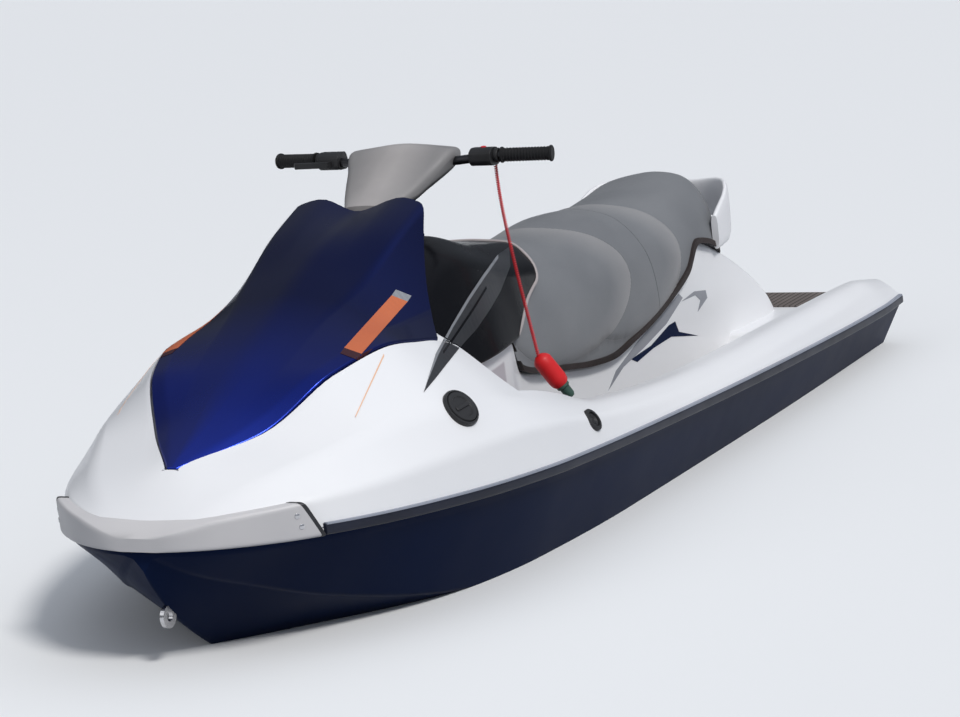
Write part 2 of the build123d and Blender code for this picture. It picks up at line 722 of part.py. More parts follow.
# Stop-switch lanyard, one fat tube for its curls, with its float and clip
path_points = [Vector(*p) for p in lanyard_points]
runs = [b - a for a, b in zip(path_points, path_points[1:])]
radii = []
for a, b in zip(runs, runs[1:]):
    radii.append(0.45 * min(a.length, b.length) / tan(radians(a.get_angle(b)) / 2))
print("lanyard arc radii", [round(r) for r in radii])
lanyard_line = FilletPolyline(*path_points, radius=radii)
lanyard = sweep(Plane(origin=lanyard_line @ 0, z_dir=lanyard_line % 0) * Circle(lanyard_r), path=lanyard_line)
print("lanyard volume ratio", round(lanyard.volume / (pi * lanyard_r**2 * lanyard_line.length), 3))
export("lanyard", lanyard)
float_top = path_points[-1]
float_low = Vector(*float_end)
drop = (float_low - float_top).normalized()
buoy = taper(float_top + drop * 0.1, float_low, float_r, float_r) - lanyard
export("lanyard_float", buoy + taper(float_low, clip_end, clip_r, clip_r))

# Display, breather and throttle lever
export("display", plate(display_profile, -display_y, display_y) - dash)
vent = Vector(*vent_place)
vent_way = Vector(0, 0.957, 0.29)
vent_solid = rod(vent - vent_way * 20, vent + vent_way * 5, vent_r) - deck_body
export("side_vent", max(vent_solid.solids(), key=lambda part: part.volume))
export("throttle_lever", slab(lever_plan, lever_z[0], lever_z[1]))
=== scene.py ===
"""A three-seat personal watercraft afloat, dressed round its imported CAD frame.

Metres, +X is the bow, +Y is port, and z = 0 is the waterline.
"""
import math

import bpy
import bmesh
from mathutils import Vector, Matrix
from mathutils.bvhtree import BVHTree
from mathutils.geometry import delaunay_2d_cdt


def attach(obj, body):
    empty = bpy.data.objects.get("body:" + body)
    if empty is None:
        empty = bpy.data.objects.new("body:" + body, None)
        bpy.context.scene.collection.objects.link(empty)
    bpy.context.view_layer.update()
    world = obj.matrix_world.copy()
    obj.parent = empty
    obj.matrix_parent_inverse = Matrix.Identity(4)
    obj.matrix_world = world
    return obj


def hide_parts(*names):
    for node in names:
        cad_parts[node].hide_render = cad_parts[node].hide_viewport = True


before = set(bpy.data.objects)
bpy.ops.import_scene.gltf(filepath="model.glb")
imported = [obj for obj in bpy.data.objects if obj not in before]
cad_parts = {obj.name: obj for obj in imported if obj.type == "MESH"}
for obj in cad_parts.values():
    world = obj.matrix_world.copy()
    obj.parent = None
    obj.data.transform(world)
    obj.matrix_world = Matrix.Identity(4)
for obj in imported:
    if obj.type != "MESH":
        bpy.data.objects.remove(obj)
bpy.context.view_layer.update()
MM = 0.001

# Tables of the body, in millimetres, the same as in the CAD source
HULL_ROWS = (
    (-1600, -235, 425, -75, 546),
    (-700, -235, 440, -78, 576),
    (200, -234, 445, -70, 577),
    (640, -216, 428, -40, 566),
    (960, -172, 376, 6, 520),
    (1280, -58, 254, 92, 411),
    (1440, 45, 160, 160, 310),
    (1560, 165, 72, 222, 180),
    (1600, 232, 24, 262, 66),
)
DECK_ROWS = (
    (-1600, 540, 505, 172, 478, 190, 440, 190, 200, 190, 190),
    (-1400, 560, 524, 200, 490, 222, 446, 221, 200, 221, 221),
    (-1000, 572, 547, 209, 506, 234, 461, 233, 200, 233, 233),
    (-300, 578, 555, 223, 511, 250, 464, 248, 200, 248, 248),
    (320, 575, 554, 278, 509, 304, 462, 306, 200, 308, 308),
    (640, 566, 547, 330, 494, 378, 322, 506, 190, 570, 590),
    (800, 549, 531, 348, 472, 420, 300, 566, 160, 704, 735),
    (960, 520, 503, 352, 447, 444, 284, 590, 122, 642, 660),
    (1120, 474, 458, 352, 390, 442, 237, 562, 105, 574, 584),
    (1280, 411, 395, 349, 309, 426, 140, 464, 62, 490, 501),
    (1440, 310, 294, 350, 215, 393, 62, 421, 24, 427, 428),
    (1550, 185, 160, 345, 110, 352, 50, 355, 18, 356, 356),
    (1600, 66, 46, 313, 32, 316, 20, 317, 8, 318, 318),
)
HOOD_ROWS = (
    (1443, 13, 425, 6, 426.5, 427),
    (1281, 138, 463, 62, 490, 501),
    (1119, 237, 562, 105, 574, 584),
    (957, 284, 590, 122, 642, 660),
    (795, 300, 566, 160, 705, 737),
    (633, 304, 530, 176, 782, 806),
    (471, 300, 500, 180, 840, 852),
)
COWL_ROWS = (
    (800, 292, 440, 250, 560, 150, 640, 650),
    (490, 296, 440, 215, 690, 150, 742, 748),
    (200, 252, 440, 205, 612, 140, 668, 676),
    (-60, 214, 300, 190, 560, 120, 622, 628),
)
SEAT_ROWS = (
    (260, 238, 240, 224, 460, 104, 560, 590),
    (-60, 232, 240, 214, 486, 114, 590, 620),
    (-296, 230, 240, 208, 476, 118, 566, 594),
    (-514, 228, 240, 206, 486, 122, 578, 604),
    (-732, 228, 240, 206, 476, 122, 562, 588),
    (-950, 228, 240, 208, 484, 126, 574, 600),
    (-1070, 216, 260, 200, 494, 124, 588, 612),
    (-1160, 160, 330, 166, 500, 104, 586, 606),
    (-1225, 60, 400, 92, 500, 56, 570, 584),
)
SEAT_LOBES = (((-130, 470), 365, 170), ((-480, 470), 355, 185))
SEAT_FRONT_EDGE = ((-34, 630), (0, 536), (110, 505), (243, 443), (208, 350))
SEAT_SPLIT = -626
PAD_ROWS = (
    (478, 804, 56, 806, 58, 820, 824),
    (408, 800, 88, 810, 96, 846, 866),
    (338, 812, 112, 836, 124, 884, 904),
    (268, 838, 132, 862, 150, 920, 938),
    (198, 862, 120, 872, 132, 912, 926),
)
BUMPER_ROWS = (
    (1380, 348, -16, 352),
    (1440, 310, -16, 352),
    (1500, 254, -16, 350),
    (1560, 178, -16, 344),
    (1600, 98, -16, 326),
    (1614, 44, -16, 312),
)
PEDESTAL_TOP = (
    (640, 440), (250, 440), (212, 352), (84, 315), (-56, 289), (-200, 264), (-330, 253), (-450, 268),
    (-585, 293), (-727, 332), (-838, 371), (-939, 435), (-1000, 424), (-1109, 376), (-1234, 298),
    (-1335, 212), (-1390, 130),
)
PEDESTAL_PLAN = ((640, 292), (440, 280), (84, 226), (-400, 222), (-1000, 222), (-1390, 262))
HANDLE_HIGH = ((-1050, 490), (-1110, 522), (-1170, 550), (-1220, 564), (-1262, 562), (-1304, 550))
HANDLE_LOW = ((-1050, 396), (-1120, 400), (-1150, 408), (-1208, 425), (-1282, 450), (-1304, 468))
HANDLE_PLAN = (
    (-1052, 223), (-1090, 221), (-1136, 219), (-1170, 211), (-1203, 196), (-1234, 175), (-1260, 148),
    (-1281, 114), (-1295, 77), (-1300, 40), (-1301, 0),
)
SHEER = ((-1600, 131), (0, 196), (1600, 297))
LANYARD = ((232, 238, 872), (232, 238, 800), (263, 276, 640), (292, 311, 524), (314, 342, 412))
FLOAT_END, CLIP_END = (288, 386, 332), (278, 402, 302)
STEER_X, STEER_Z, STEER_TILT = 250, 905, math.radians(20)
BAR_END, BAR_BEND = (212, 382, 893), (240, 250, 897)

# Fuel cap and breather: the place, roughly which way it faces, and the radius that it is seated on
CAP_SEAT = ((932, 456, 437), (0, 0.832, 0.555), 48)
VENT_SEAT = ((470, 553, 293), (0, 0.957, 0.29), 29)

# Outlines of the graphics as seen from the camera, (x, z) in a plane of constant y
FIN = (
    (857, 453), (778, 528), (692, 574), (599, 619), (513, 655), (426, 686), (365, 692), (369, 646),
    (434, 598), (494, 568), (573, 537), (648, 518), (724, 494), (798, 470),
)
FIN_EDGE = FIN[:6] + ((426, 677), (508, 647), (594, 611), (688, 567), (771, 520), (834, 473))
FIN_LINE = ((744, 517), (678, 543), (582, 582), (501, 619), (503, 626), (584, 589), (680, 550), (746, 524))
STRIP = ((1085, 612), (1013, 581), (778, 650), (848, 680))
STRIP_TIP = STRIP[2:] + ((826, 689), (757, 659))
# painted shade: a dark red sliver under the front of the orange strip
STRIP_SHADE = ((1105, 604), (1020, 566), (960, 582), (1013, 581), (1085, 612))
DECK_LINE = ((1137, 611), (1290, 508), (1289, 504), (1136, 605))
BLADE = (
    (-286, 176), (-343, 216), (-496, 262), (-652, 299), (-776, 328), (-798, 312), (-678, 266),
    (-522, 235), (-390, 215),
)
HOOK = (
    (-439, 224), (-570, 231), (-693, 259), (-735, 260), (-753, 227), (-872, 189), (-701, 225),
    (-584, 221), (-476, 208),
)
ARC = ((-788, 304), (-876, 313), (-951, 300), (-958, 277), (-887, 253), (-911, 280), (-881, 301))

# The camera: its place, its sideways direction, what it looks at, the photograph's focal length and width in
# pixels, and how far it is zoomed in
CAMERA_PLACE = (7.525, 4.116, 2.117)
CAMERA_RIGHT = (-0.4329, 0.8957, -0.1019)
LOOK_AT = (0.02, 0.02, 0.335)
FOCAL_PX, WIDTH_PX, ZOOM = 990.0, 960, 3.45

# Footwells and platform, hood, storage bin, and the ends of the pedestal and the seat
WELL_FLOOR, WELL_WALL, WELL_SIDE, PLATFORM_X, PLATFORM_Z = 45, 12, 457, -1090, 150
TUB_UNDER, TUB_REAR_X = 34, -1022
HOOD_WALL, PANEL_GAP, LIP_WIDTH, LIP_SWELL = 22, 6, 36, 5
HOOD_REAR_X, HOOD_TIP_X = 471, 1443
HOOD_EDGE = ((492, 842), (735, 545))
BIN_X, BIN_HALF = (900, 1220), 140
PEDESTAL_REAR_X, PEDESTAL_FRONT_X = -1388, 640
SEAT_REAR_X, SEAT_FRONT_X = -1225, 260
PIPING_R = 0.0047


# Shape helpers

def sheer_z(x):
    """Height of the sheer line, in millimetres."""
    (x1, z1), (_, z2), (x3, z3) = SHEER
    chord = z1 + (z3 - z1) / (x3 - x1) * (x - x1)
    return chord - ((z1 + z3) / 2 - z2) * (1 - (x / x3) ** 2)


def slopes(xs, values):
    """The curve's slope at each point."""
    rise = [(v1 - v0) / (x1 - x0) for x0, x1, v0, v1 in zip(xs, xs[1:], values, values[1:])]
    inner = [0 if a * b <= 0 else 2 * a * b / (a + b) for a, b in zip(rise, rise[1:])]
    return [rise[0]] + inner + [rise[-1]]


def row_at(rows, x):
    """The table's columns at x, on smooth curves that never pass beyond the values they join."""
    rows = sorted(rows)
    columns = list(zip(*rows))
    xs = columns[0]
    x = min(max(x, xs[0]), xs[-1])
    left = max(i for i in range(len(xs) - 1) if xs[i] <= x + 1e-6)
    span = xs[left + 1] - xs[left]
    t = (x - xs[left]) / span
    result = []
    for column in columns[1:]:
        tangent = slopes(xs, column)
        v0, v1, m0, m1 = column[left], column[left + 1], tangent[left] * span, tangent[left + 1] * span
        result.append(
            v0 * (2 * t**3 - 3 * t**2 + 1) + m0 * (t**3 - 2 * t**2 + t)
            + v1 * (3 * t**2 - 2 * t**3) + m1 * (t**3 - t**2)
        )
    return result


def stations(step, low, high):
    """Even places from low to high, about a step apart."""
    count = max(2, round((high - low) / step))
    return [low + (high - low) * k / count for k in range(count + 1)]


def rounded(points, cuts, steps=4):
    """A polygon of (a, b) points with each corner cut back by its own distance and curved."""
    result = []
    n = len(points)
    for k in range(n):
        p = Vector(points[k])
        a, b = Vector(points[k - 1]) - p, Vector(points[(k + 1) % n]) - p
        cut = cuts[k] if hasattr(cuts, "__len__") else cuts
        start = p + a.normalized() * min(cut, a.length * 0.49)
        stop = p + b.normalized() * min(cut, b.length * 0.49)
        for i in range(steps + 1):
            t = i / steps
            result.append(start * (1 - t) ** 2 + p * 2 * t * (1 - t) + stop * t**2)
    return result


def section(x, half, cuts, steps):
    """A whole rounded section at x: half of it is listed from the bottom centre to the top centre."""
    port = list(zip(half, cuts))
    both = port + [((-y, z), cut) for (y, z), cut in reversed(port) if y > 0]
    return [(x, y, z) for y, z in rounded([p for p, _ in both], [cut for _, cut in both], steps)]


def new_object(name, vertices, faces):
    mesh = bpy.data.meshes.new(name)
    mesh.from_pydata([tuple(v) for v in vertices], [], faces)
    mesh.update()
    obj = bpy.data.objects.new(name, mesh)
    bpy.context.scene.collection.objects.link(obj)
    face_out(obj)
    return obj


def face_out(obj):
    bm = bmesh.new()
    bm.from_mesh(obj.data)
    bmesh.ops.remove_doubles(bm, verts=bm.verts, dist=1e-6)
    bmesh.ops.recalc_face_normals(bm, faces=bm.faces)
    bm.to_mesh(obj.data)
    bm.free()


def closed_body(name, vertices, count):
    """A body from rings of count vertices each, listed one ring after another, closed at both ends."""
    faces = []
    last = len(vertices) // count - 1
    for i in range(last):
        for k in range(count):
            n = (k + 1) % count
            faces.append((i * count + k, i * count + n, (i + 1) * count + n, (i + 1) * count + k))
    faces.append(tuple(reversed(range(count))))
    faces.append(tuple(last * count + k for k in range(count)))
    return new_object(name, vertices, faces)


def skin(name, rings):
    """A closed body through rings of equal length, each a list of points in millimetres."""
    return closed_body(name, [Vector(p) * MM for ring in rings for p in ring], len(rings[0]))


def section_skin(name, rows, outline, cuts, step, steps=4, low=None, high=None):
    """A closed body: outline turns the table's columns at x into half a section."""
    low = min(rows)[0] if low is None else low
    high = max(rows)[0] if high is None else high
    places = stations(step, low, high)
    return skin(name, [section(x, outline(x, *row_at(rows, x)), cuts, steps) for x in places])


def prism(name, points, low, high):
    """A polygon of (x, z) points made solid between two values of y."""
    return skin(name, [[(x, y, z) for x, z in points] for y in (low, high)])


def tube(name, path, radius, sides):
    """A round tube along points in metres, of one radius or with a list of them."""
    vertices, side = [], None
    for i, p in enumerate(path):
        along = (path[min(i + 1, len(path) - 1)] - path[max(i - 1, 0)]).normalized()
        if side is None:
            side = along.orthogonal().normalized()
        side = (side - along * side.dot(along)).normalized()
        other = along.cross(side)
        r = radius[i] if isinstance(radius, list) else radius
        for k in range(sides):
            t = 2 * math.pi * k / sides
            vertices.append(p + (side * math.cos(t) + other * math.sin(t)) * r)
    return closed_body(name, vertices, sides)


def lathe(name, profile, origin, axis, sides):
    """A turned piece: profile is (distance along the axis, radius) in metres; a closed loop makes a ring."""
    axis = Vector(axis).normalized()
    side = axis.orthogonal().normalized()
    other = axis.cross(side)
    vertices, faces = [], []
    count = len(profile)
    for k in range(sides):
        t = 2 * math.pi * k / sides
        way = side * math.cos(t) + other * math.sin(t)
        vertices += [Vector(origin) + axis * a + way * r for a, r in profile]
    for k in range(sides):
        n = (k + 1) % sides
        for i in range(count):
            j = (i + 1) % count
            faces.append((k * count + i, k * count + j, n * count + j, n * count + i))
    return new_object(name, vertices, faces)


def modify(obj, kind, **settings):
    """Add a modifier and apply it."""
    modifier = obj.modifiers.new(kind, kind)
    for key, value in settings.items():
        setattr(modifier, key, value)
    bpy.context.view_layer.objects.active = obj
    bpy.ops.object.modifier_apply(modifier=modifier.name)


def carve(obj, tool, operation="DIFFERENCE"):
    """Cut a body with another one, which is used up."""
    modify(obj, "BOOLEAN", operation=operation, solver="EXACT", object=tool)
    bpy.data.objects.remove(tool)


def cut(obj, outline, half_width, operation="DIFFERENCE"):
    """Cut a body right across with an outline in side view."""
    carve(obj, prism("cutter", outline, -half_width, half_width), operation)


def cut_box(obj, x0, x1, half_width, z0, z1):
    cut(obj, [(x0, z0), (x1, z0), (x1, z1), (x0, z1)], half_width)


def smooth(obj, angle=40):
    """Smooth shading that keeps edges sharper than the angle."""
    obj.data.shade_smooth()
    obj.data.set_sharp_from_angle(angle=math.radians(angle))
    modify(obj, "WEIGHTED_NORMAL", keep_sharp=True)


def soften(obj, width, segments, angle):
    """Small rounds on the edges that are sharper than the angle."""
    modify(obj, "BEVEL", width=width, segments=segments, limit_method="ANGLE",
           angle_limit=math.radians(angle), use_clamp_overlap=True)


def mirrored(obj, name):
    """A copy of a piece on the other side of the craft."""
    twin = obj.copy()
    twin.data = obj.data.copy()
    twin.name = name
    twin.data.transform(Matrix.Diagonal((1, -1, 1, 1)))
    twin.data.flip_normals()
    bpy.context.scene.collection.objects.link(twin)
    return twin


def dress(obj, material, body="craft", slot="black_trim", replaces=()):
    """Give a piece its material, the body that it rides and the nodes that it stands for; its slot is not
    used.
    """
    obj.data.materials.clear()
    obj.data.materials.append(material)
    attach(obj, body)
    if replaces:
        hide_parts(*replaces)
    return obj


def pair(obj, name, *dressing, **more):
    """Dress a port piece and its mirror image."""
    twin = mirrored(obj, name)
    dress(obj, *dressing, **more)
    dress(twin, *dressing, **more)


def turned(name, profile, origin, way, material, body="craft", slot="black_trim", sides=40, angle=40,
           replaces=()):
    """A turned piece, smoothed and dressed."""
    obj = lathe(name, profile, origin, way, sides)
    smooth(obj, angle)
    return dress(obj, material, body, slot, replaces)


def surface(*objects):
    """One tree to cast rays on, of several meshes."""
    vertices, faces = [], []
    for obj in objects:
        first = len(vertices)
        vertices += [v.co.copy() for v in obj.data.vertices]
        faces += [[first + k for k in polygon.vertices] for polygon in obj.data.polygons]
    return BVHTree.FromPolygons(vertices, faces)


def seated(tree, place, way, radius):
    """The spot in metres and the direction that seat a round fitting just below its rim's highest point."""
    way = Vector(way).normalized()
    across = Vector((1, 0, 0))
    rim = []
    for k in range(16):
        t = 2 * math.pi * k / 16
        start = (Vector(place) + (across * math.cos(t) + way.cross(across) * math.sin(t)) * radius) * MM
        rim.append(tree.ray_cast(start + way * 0.2, -way)[0])
    centre = sum(rim, Vector()) / 16
    turns = ((rim[k] - centre).cross(rim[(k + 4) % 16] - centre) for k in range(16))
    facing = sum(turns, Vector()).normalized()
    if facing.dot(way) < 0:
        facing = -facing
    highest = max((spot - centre).dot(facing) for spot in rim)
    return centre + facing * highest * 0.4, facing


def laid_on(name, outline, plane_y, target, owners, allowed, lift, thick, step):
    """A thin sheet laid on the allowed pieces: the outline is seen in its plane from the camera's place."""
    corners = [Vector(p) for p in outline]
    rim = []
    for a, b in zip(corners, corners[1:] + corners[:1]):
        parts = max(1, round((b - a).length / step))
        rim += [a.lerp(b, k / parts) for k in range(parts)]
    low_x, high_x = min(p.x for p in rim), max(p.x for p in rim)
    low_z, high_z = min(p.y for p in rim), max(p.y for p in rim)
    fill = []
    for i in range(int((high_x - low_x) / step) + 2):
        for k in range(int((high_z - low_z) / step) + 2):
            p = Vector((low_x + i * step + (k % 2) * step / 2, low_z + k * step))
            if min((p - q).length for q in rim) > step * 0.5:
                fill.append(p)
    points, _, faces, *_ = delaunay_2d_cdt(rim + fill, [], [list(range(len(rim)))], 1, 1e-4)
    eye = Vector(CAMERA_PLACE)
    placed, under = [], []
    for p in points:
        toward = (Vector((p.x, plane_y, p.y)) * MM - eye).normalized()
        spot, normal, index, _ = target.ray_cast(eye, toward)
        if spot is None or owners[index] not in allowed:
            placed.append(None)
            under.append(None)
            continue
        normal *= -math.copysign(1, normal.dot(toward))
        placed.append(spot + normal * lift * MM)
        under.append(owners[index])
    kept = []
    for face in faces:
        spots = [placed[k] for k in face]
        if any(spot is None for spot in spots) or len({under[k] for k in face}) > 1:
            continue
        if max((spots[k] - spots[k - 1]).length for k in range(3)) > 5 * step * MM:
            continue
        turn = (spots[1] - spots[0]).cross(spots[2] - spots[0]).dot(eye - spots[0])
        kept.append(tuple(face) if turn > 0 else tuple(reversed(face)))
    used = sorted({k for face in kept for k in face})
    place_of = {k: i for i, k in enumerate(used)}
    mesh = bpy.data.meshes.new(name)
    mesh.from_pydata([placed[k] for k in used], [], [[place_of[k] for k in face] for face in kept])
    mesh.update()
    obj = bpy.data.objects.new(name, mesh)
    bpy.context.scene.collection.objects.link(obj)
    modify(obj, "SOLIDIFY", thickness=thick * MM, offset=-1)
    obj.data.shade_smooth()
    obj.data.set_sharp_from_angle(angle=math.radians(50))
    return obj


# Materials

class Nodes:
    """Short names for building one material's nodes."""

    def __init__(self, name):
        self.material = bpy.data.materials.new(name)
        self.material.use_nodes = True
        self.tree = self.material.node_tree
        self.shader = self.tree.nodes["Principled BSDF"]
        self.place = self.tree.nodes.new("ShaderNodeTexCoord").outputs["Object"]

    def put(self, kind, inputs=(), **settings):
        node = self.tree.nodes.new(kind)
        for key, value in settings.items():
            setattr(node, key, value)
        for key, value in dict(inputs).items():
            if hasattr(value, "links"):
                self.tree.links.new(value, node.inputs[key])
            else:
                node.inputs[key].default_value = (*value, 1.0) if isinstance(value, (tuple, list)) else value
        return node

    def math(self, operation, a, b=0.0):
        return self.put("ShaderNodeMath", {0: a, 1: b}, operation=operation).outputs[0]

    def mix(self, factor, a, b):
        return self.put("ShaderNodeMix", {0: factor, 6: a, 7: b}, data_type="RGBA").outputs[2]

    def noise(self, scale, detail=3.0):
        inputs = {"Vector": self.place, "Scale": scale, "Detail": detail}
        return self.put("ShaderNodeTexNoise", inputs).outputs[0]

    def ramp(self, value, low, high, to_low=0.0, to_high=1.0):
        return self.put("ShaderNodeMapRange", {0: value, 1: low, 2: high, 3: to_low, 4: to_high}).outputs[0]

    def uneven(self, scale, low, high):
        """A value that drifts softly between two."""
        return self.ramp(self.noise(scale), 0.3, 0.7, low, high)

    def mottled(self, scale, dark, light, spread=0.15):
        """A colour that drifts softly between two."""
        return self.mix(self.ramp(self.noise(scale), 0.5 - spread, 0.5 + spread), dark, light)

    def set(self, **values):
        for key, value in values.items():
            socket = self.shader.inputs[key.replace("_", " ")]
            if hasattr(value, "links"):
                self.tree.links.new(value, socket)
            else:
                socket.default_value = value

    def bump(self, height, strength=0.3, distance=0.001):
        node = self.put("ShaderNodeBump", {"Height": height, "Strength": strength, "Distance": distance})
        self.tree.links.new(node.outputs[0], self.shader.inputs["Normal"])

    def axes(self):
        """x, y and z of the place, in millimetres."""
        split = self.put("ShaderNodeSeparateXYZ", {0: self.place})
        return [self.math("MULTIPLY", split.outputs[k], 1000.0) for k in range(3)]

    def within(self, value, low, high, edge=2.0):
        """1 where the value lies between low and high."""
        above, below = self.ramp(value, low - edge, low + edge), self.ramp(value, high + edge, high - edge)
        return self.math("MULTIPLY", above, below)

    def oval(self, x, z, centre, a, b):
        """Squared distance from the centre of an ellipse: 1 on its line."""
        u = self.math("DIVIDE", self.math("SUBTRACT", x, centre[0]), a)
        v = self.math("DIVIDE", self.math("SUBTRACT", z, centre[1]), b)
        return self.math("ADD", self.math("MULTIPLY", u, u), self.math("MULTIPLY", v, v))


def gloss_material(name, color, dark, roughness, specular, metallic=0.0, spread=0.15):
    """Painted or moulded gloss: faint clouds in the colour, dust in the roughness and fine orange peel."""
    n = Nodes(name)
    n.set(Base_Color=n.mottled(3.0, dark, color), Specular_IOR_Level=specular, Metallic=metallic)
    dust = n.ramp(n.noise(14.0, 6.0), 0.4, 0.75)
    polish = n.uneven(9.0, roughness * (1 - spread), roughness * (1 + spread))
    n.set(Roughness=n.math("ADD", polish, n.math("MULTIPLY", dust, roughness * spread * 2)))
    n.bump(n.noise(600.0, 1.0), 0.02, 0.0004)
    return n.material


def moulded_material(name, color, dark, roughness, grain=900.0, strength=0.25, specular=0.4):
    """Textured moulding: fine pebbled grain and a little fading."""
    n = Nodes(name)
    n.set(Base_Color=n.mottled(6.0, dark, color), Specular_IOR_Level=specular)
    n.set(Roughness=n.uneven(14.0, roughness * 0.9, roughness * 1.1))
    n.bump(n.noise(grain, 2.0), strength, 0.0006)
    return n.material


def metal_material(name, color, roughness):
    """Cast or drawn metal: uneven polish and a fine grain."""
    n = Nodes(name)
    n.set(Base_Color=n.mottled(12.0, [c * 0.8 for c in color], color, 0.2))
    n.set(Metallic=1.0, Roughness=n.uneven(40.0, roughness * 0.8, roughness * 1.25))
    n.bump(n.noise(500.0, 2.0), 0.06, 0.0003)
    return n.material


def seat_material():
    """Marine vinyl: pebble grain, each lobe painted paler towards its rear seam as a painted highlight, with
    stitches along the seam.
    """
    n = Nodes("seat_vinyl")
    x, _, z = n.axes()
    # painted highlight: this paler grey is blended into each lobe towards its rear seam, standing in for
    # light on the swelling padding
    pale = n.mottled(5.0, (0.27, 0.265, 0.268), (0.31, 0.303, 0.305))
    base = n.mottled(5.0, (0.15, 0.156, 0.167), (0.178, 0.184, 0.195))
    line = None
    for centre, a, b in reversed(SEAT_LOBES):
        value = n.oval(x, z, centre, a, b)
        # painted highlight mask: strongest near the lobe's rear seam
        rear = n.math("MULTIPLY", n.ramp(value, 0.45, 1.0), n.ramp(x, centre[0] + 60, centre[0] - a * 0.75))
        lobe = n.mix(n.math("MULTIPLY", rear, 0.85), base, pale)
        base = n.mix(n.ramp(value, 1.0, 0.985), base, lobe)
        seam = n.within(value, 0.985, 1.005, 0.006)
        if line is None:
            line = seam
        else:
            line = n.math("MAXIMUM", n.math("MULTIPLY", line, n.ramp(value, 0.985, 1.0)), seam)
    stitch = n.math("MULTIPLY", line, n.ramp(n.math("SINE", n.math("MULTIPLY", x, 1.1)), -0.2, 0.2))
    base = n.mix(n.math("MULTIPLY", line, 0.5), base, (0.05, 0.05, 0.055))
    base = n.mix(n.math("MULTIPLY", stitch, 0.5), base, (0.4, 0.4, 0.41))
    n.set(Base_Color=base, Sheen_Weight=0.12, Specular_IOR_Level=0.4)
    n.set(Roughness=n.uneven(20.0, 0.42, 0.54))
    cells = n.put("ShaderNodeTexVoronoi", {"Vector": n.place, "Scale": 420.0}).outputs["Distance"]
    creases = n.math("MULTIPLY", n.noise(7.0, 4.0), 1.2)
    height = n.math("ADD", n.math("MULTIPLY", cells, 0.5), creases)
    height = n.math("SUBTRACT", height, n.math("MULTIPLY", line, 2.0))
    n.bump(height, 0.3, 0.0012)
    return n.material


def deck_material():
    """White gelcoat with painted shade: lilac grey inside the footwells' front, and a faint bluish grey low
    down.
    """
    n = Nodes("deck_gelcoat")
    x, y, z = n.axes()
    white = n.mottled(2.5, (0.785, 0.79, 0.81), (0.81, 0.812, 0.826), 0.2)
    # painted shade: a faint bluish grey in soft patches towards the bottom of the deck
    low = n.math("MULTIPLY", n.ramp(n.noise(3.0), 0.4, 0.9), n.ramp(z, 260.0, 120.0))
    white = n.mix(n.math("MULTIPLY", low, 0.05), white, (0.6, 0.62, 0.65))
    side = n.math("ABSOLUTE", y)
    # painted shade: lilac grey over the front of the footwells, where shade falls
    painted_well_shade = n.math("MULTIPLY", n.within(side, 200, 455, 1.5), n.within(x, 330, 668, 6.0))
    painted_well_shade = n.math("MULTIPLY", painted_well_shade, n.ramp(z, 404, 398))
    n.set(Base_Color=n.mix(painted_well_shade, white, (0.5, 0.465, 0.5)))
    n.set(Roughness=n.uneven(9.0, 0.29, 0.33), Coat_Weight=0.08, Coat_Roughness=0.05)
    return n.material


def hood_material():
    """Metallic navy paint with fine flakes, and a painted highlight: a brighter, more saturated tone towards
    the tip.
    """
    n = Nodes("hood_paint")
    x, _, _ = n.axes()
    flakes = n.put("ShaderNodeTexVoronoi", {"Vector": n.place, "Scale": 1600.0}).outputs["Color"]
    navy = n.mottled(3.0, (0.004, 0.009, 0.062), (0.005, 0.011, 0.076), 0.2)
    # painted highlight: the brighter, more saturated colour towards the tip stands in for the light that the
    # tip catches
    lit_tip_blue = n.mottled(3.0, (0.015, 0.035, 0.33), (0.019, 0.042, 0.39), 0.2)
    paint = n.mix(n.ramp(x, 880.0, 1400.0), navy, lit_tip_blue)
    n.set(Base_Color=n.mix(0.006, paint, flakes), Metallic=0.9, Specular_IOR_Level=0.15)
    n.set(Roughness=n.uneven(9.0, 0.27, 0.31), Coat_Weight=0.06, Coat_Roughness=0.04)
    n.bump(n.noise(600.0, 1.0), 0.02, 0.0004)
    return n.material


def mat_material():
    """Foam mat with lengthwise grooves, painted darker inside as painted shade."""
    n = Nodes("mat_foam")
    _, y, _ = n.axes()
    # the grooves shape the bump and are also painted near black as painted shade
    groove_and_shade = n.ramp(n.math("SINE", n.math("MULTIPLY", y, 0.35)), 0.55, 0.85)
    base = n.mottled(8.0, (0.14, 0.12, 0.11), (0.185, 0.16, 0.148))
    n.set(Base_Color=n.mix(groove_and_shade, base, (0.045, 0.04, 0.038)), Roughness=0.85, Specular_IOR_Level=0.25)
    n.bump(n.math("SUBTRACT", n.noise(1200.0, 2.0), n.math("MULTIPLY", groove_and_shade, 2.0)), 0.5, 0.001)
    return n.material


def pad_material():
    """Padded grey moulding, paler in the middle, black underneath."""
    n = Nodes("pad_grey")
    _, y, _ = n.axes()
    normal = n.put("ShaderNodeSeparateXYZ", {0: n.put("ShaderNodeNewGeometry").outputs["Normal"]})
    middle = n.ramp(n.math("ABSOLUTE", y), 105.0, 20.0)
    grey = n.mix(middle, (0.23, 0.224, 0.224), (0.37, 0.35, 0.345))
    grey = n.mix(n.math("MULTIPLY", n.ramp(n.noise(8.0), 0.4, 0.7), 0.2), grey, (0.16, 0.155, 0.155))
    n.set(Base_Color=n.mix(n.ramp(normal.outputs[2], -0.2, -0.4), grey, (0.015, 0.015, 0.016)))
    n.set(Roughness=n.uneven(14.0, 0.48, 0.6), Specular_IOR_Level=0.4)
    n.bump(n.noise(700.0, 2.0), 0.18, 0.0006)
    return n.material


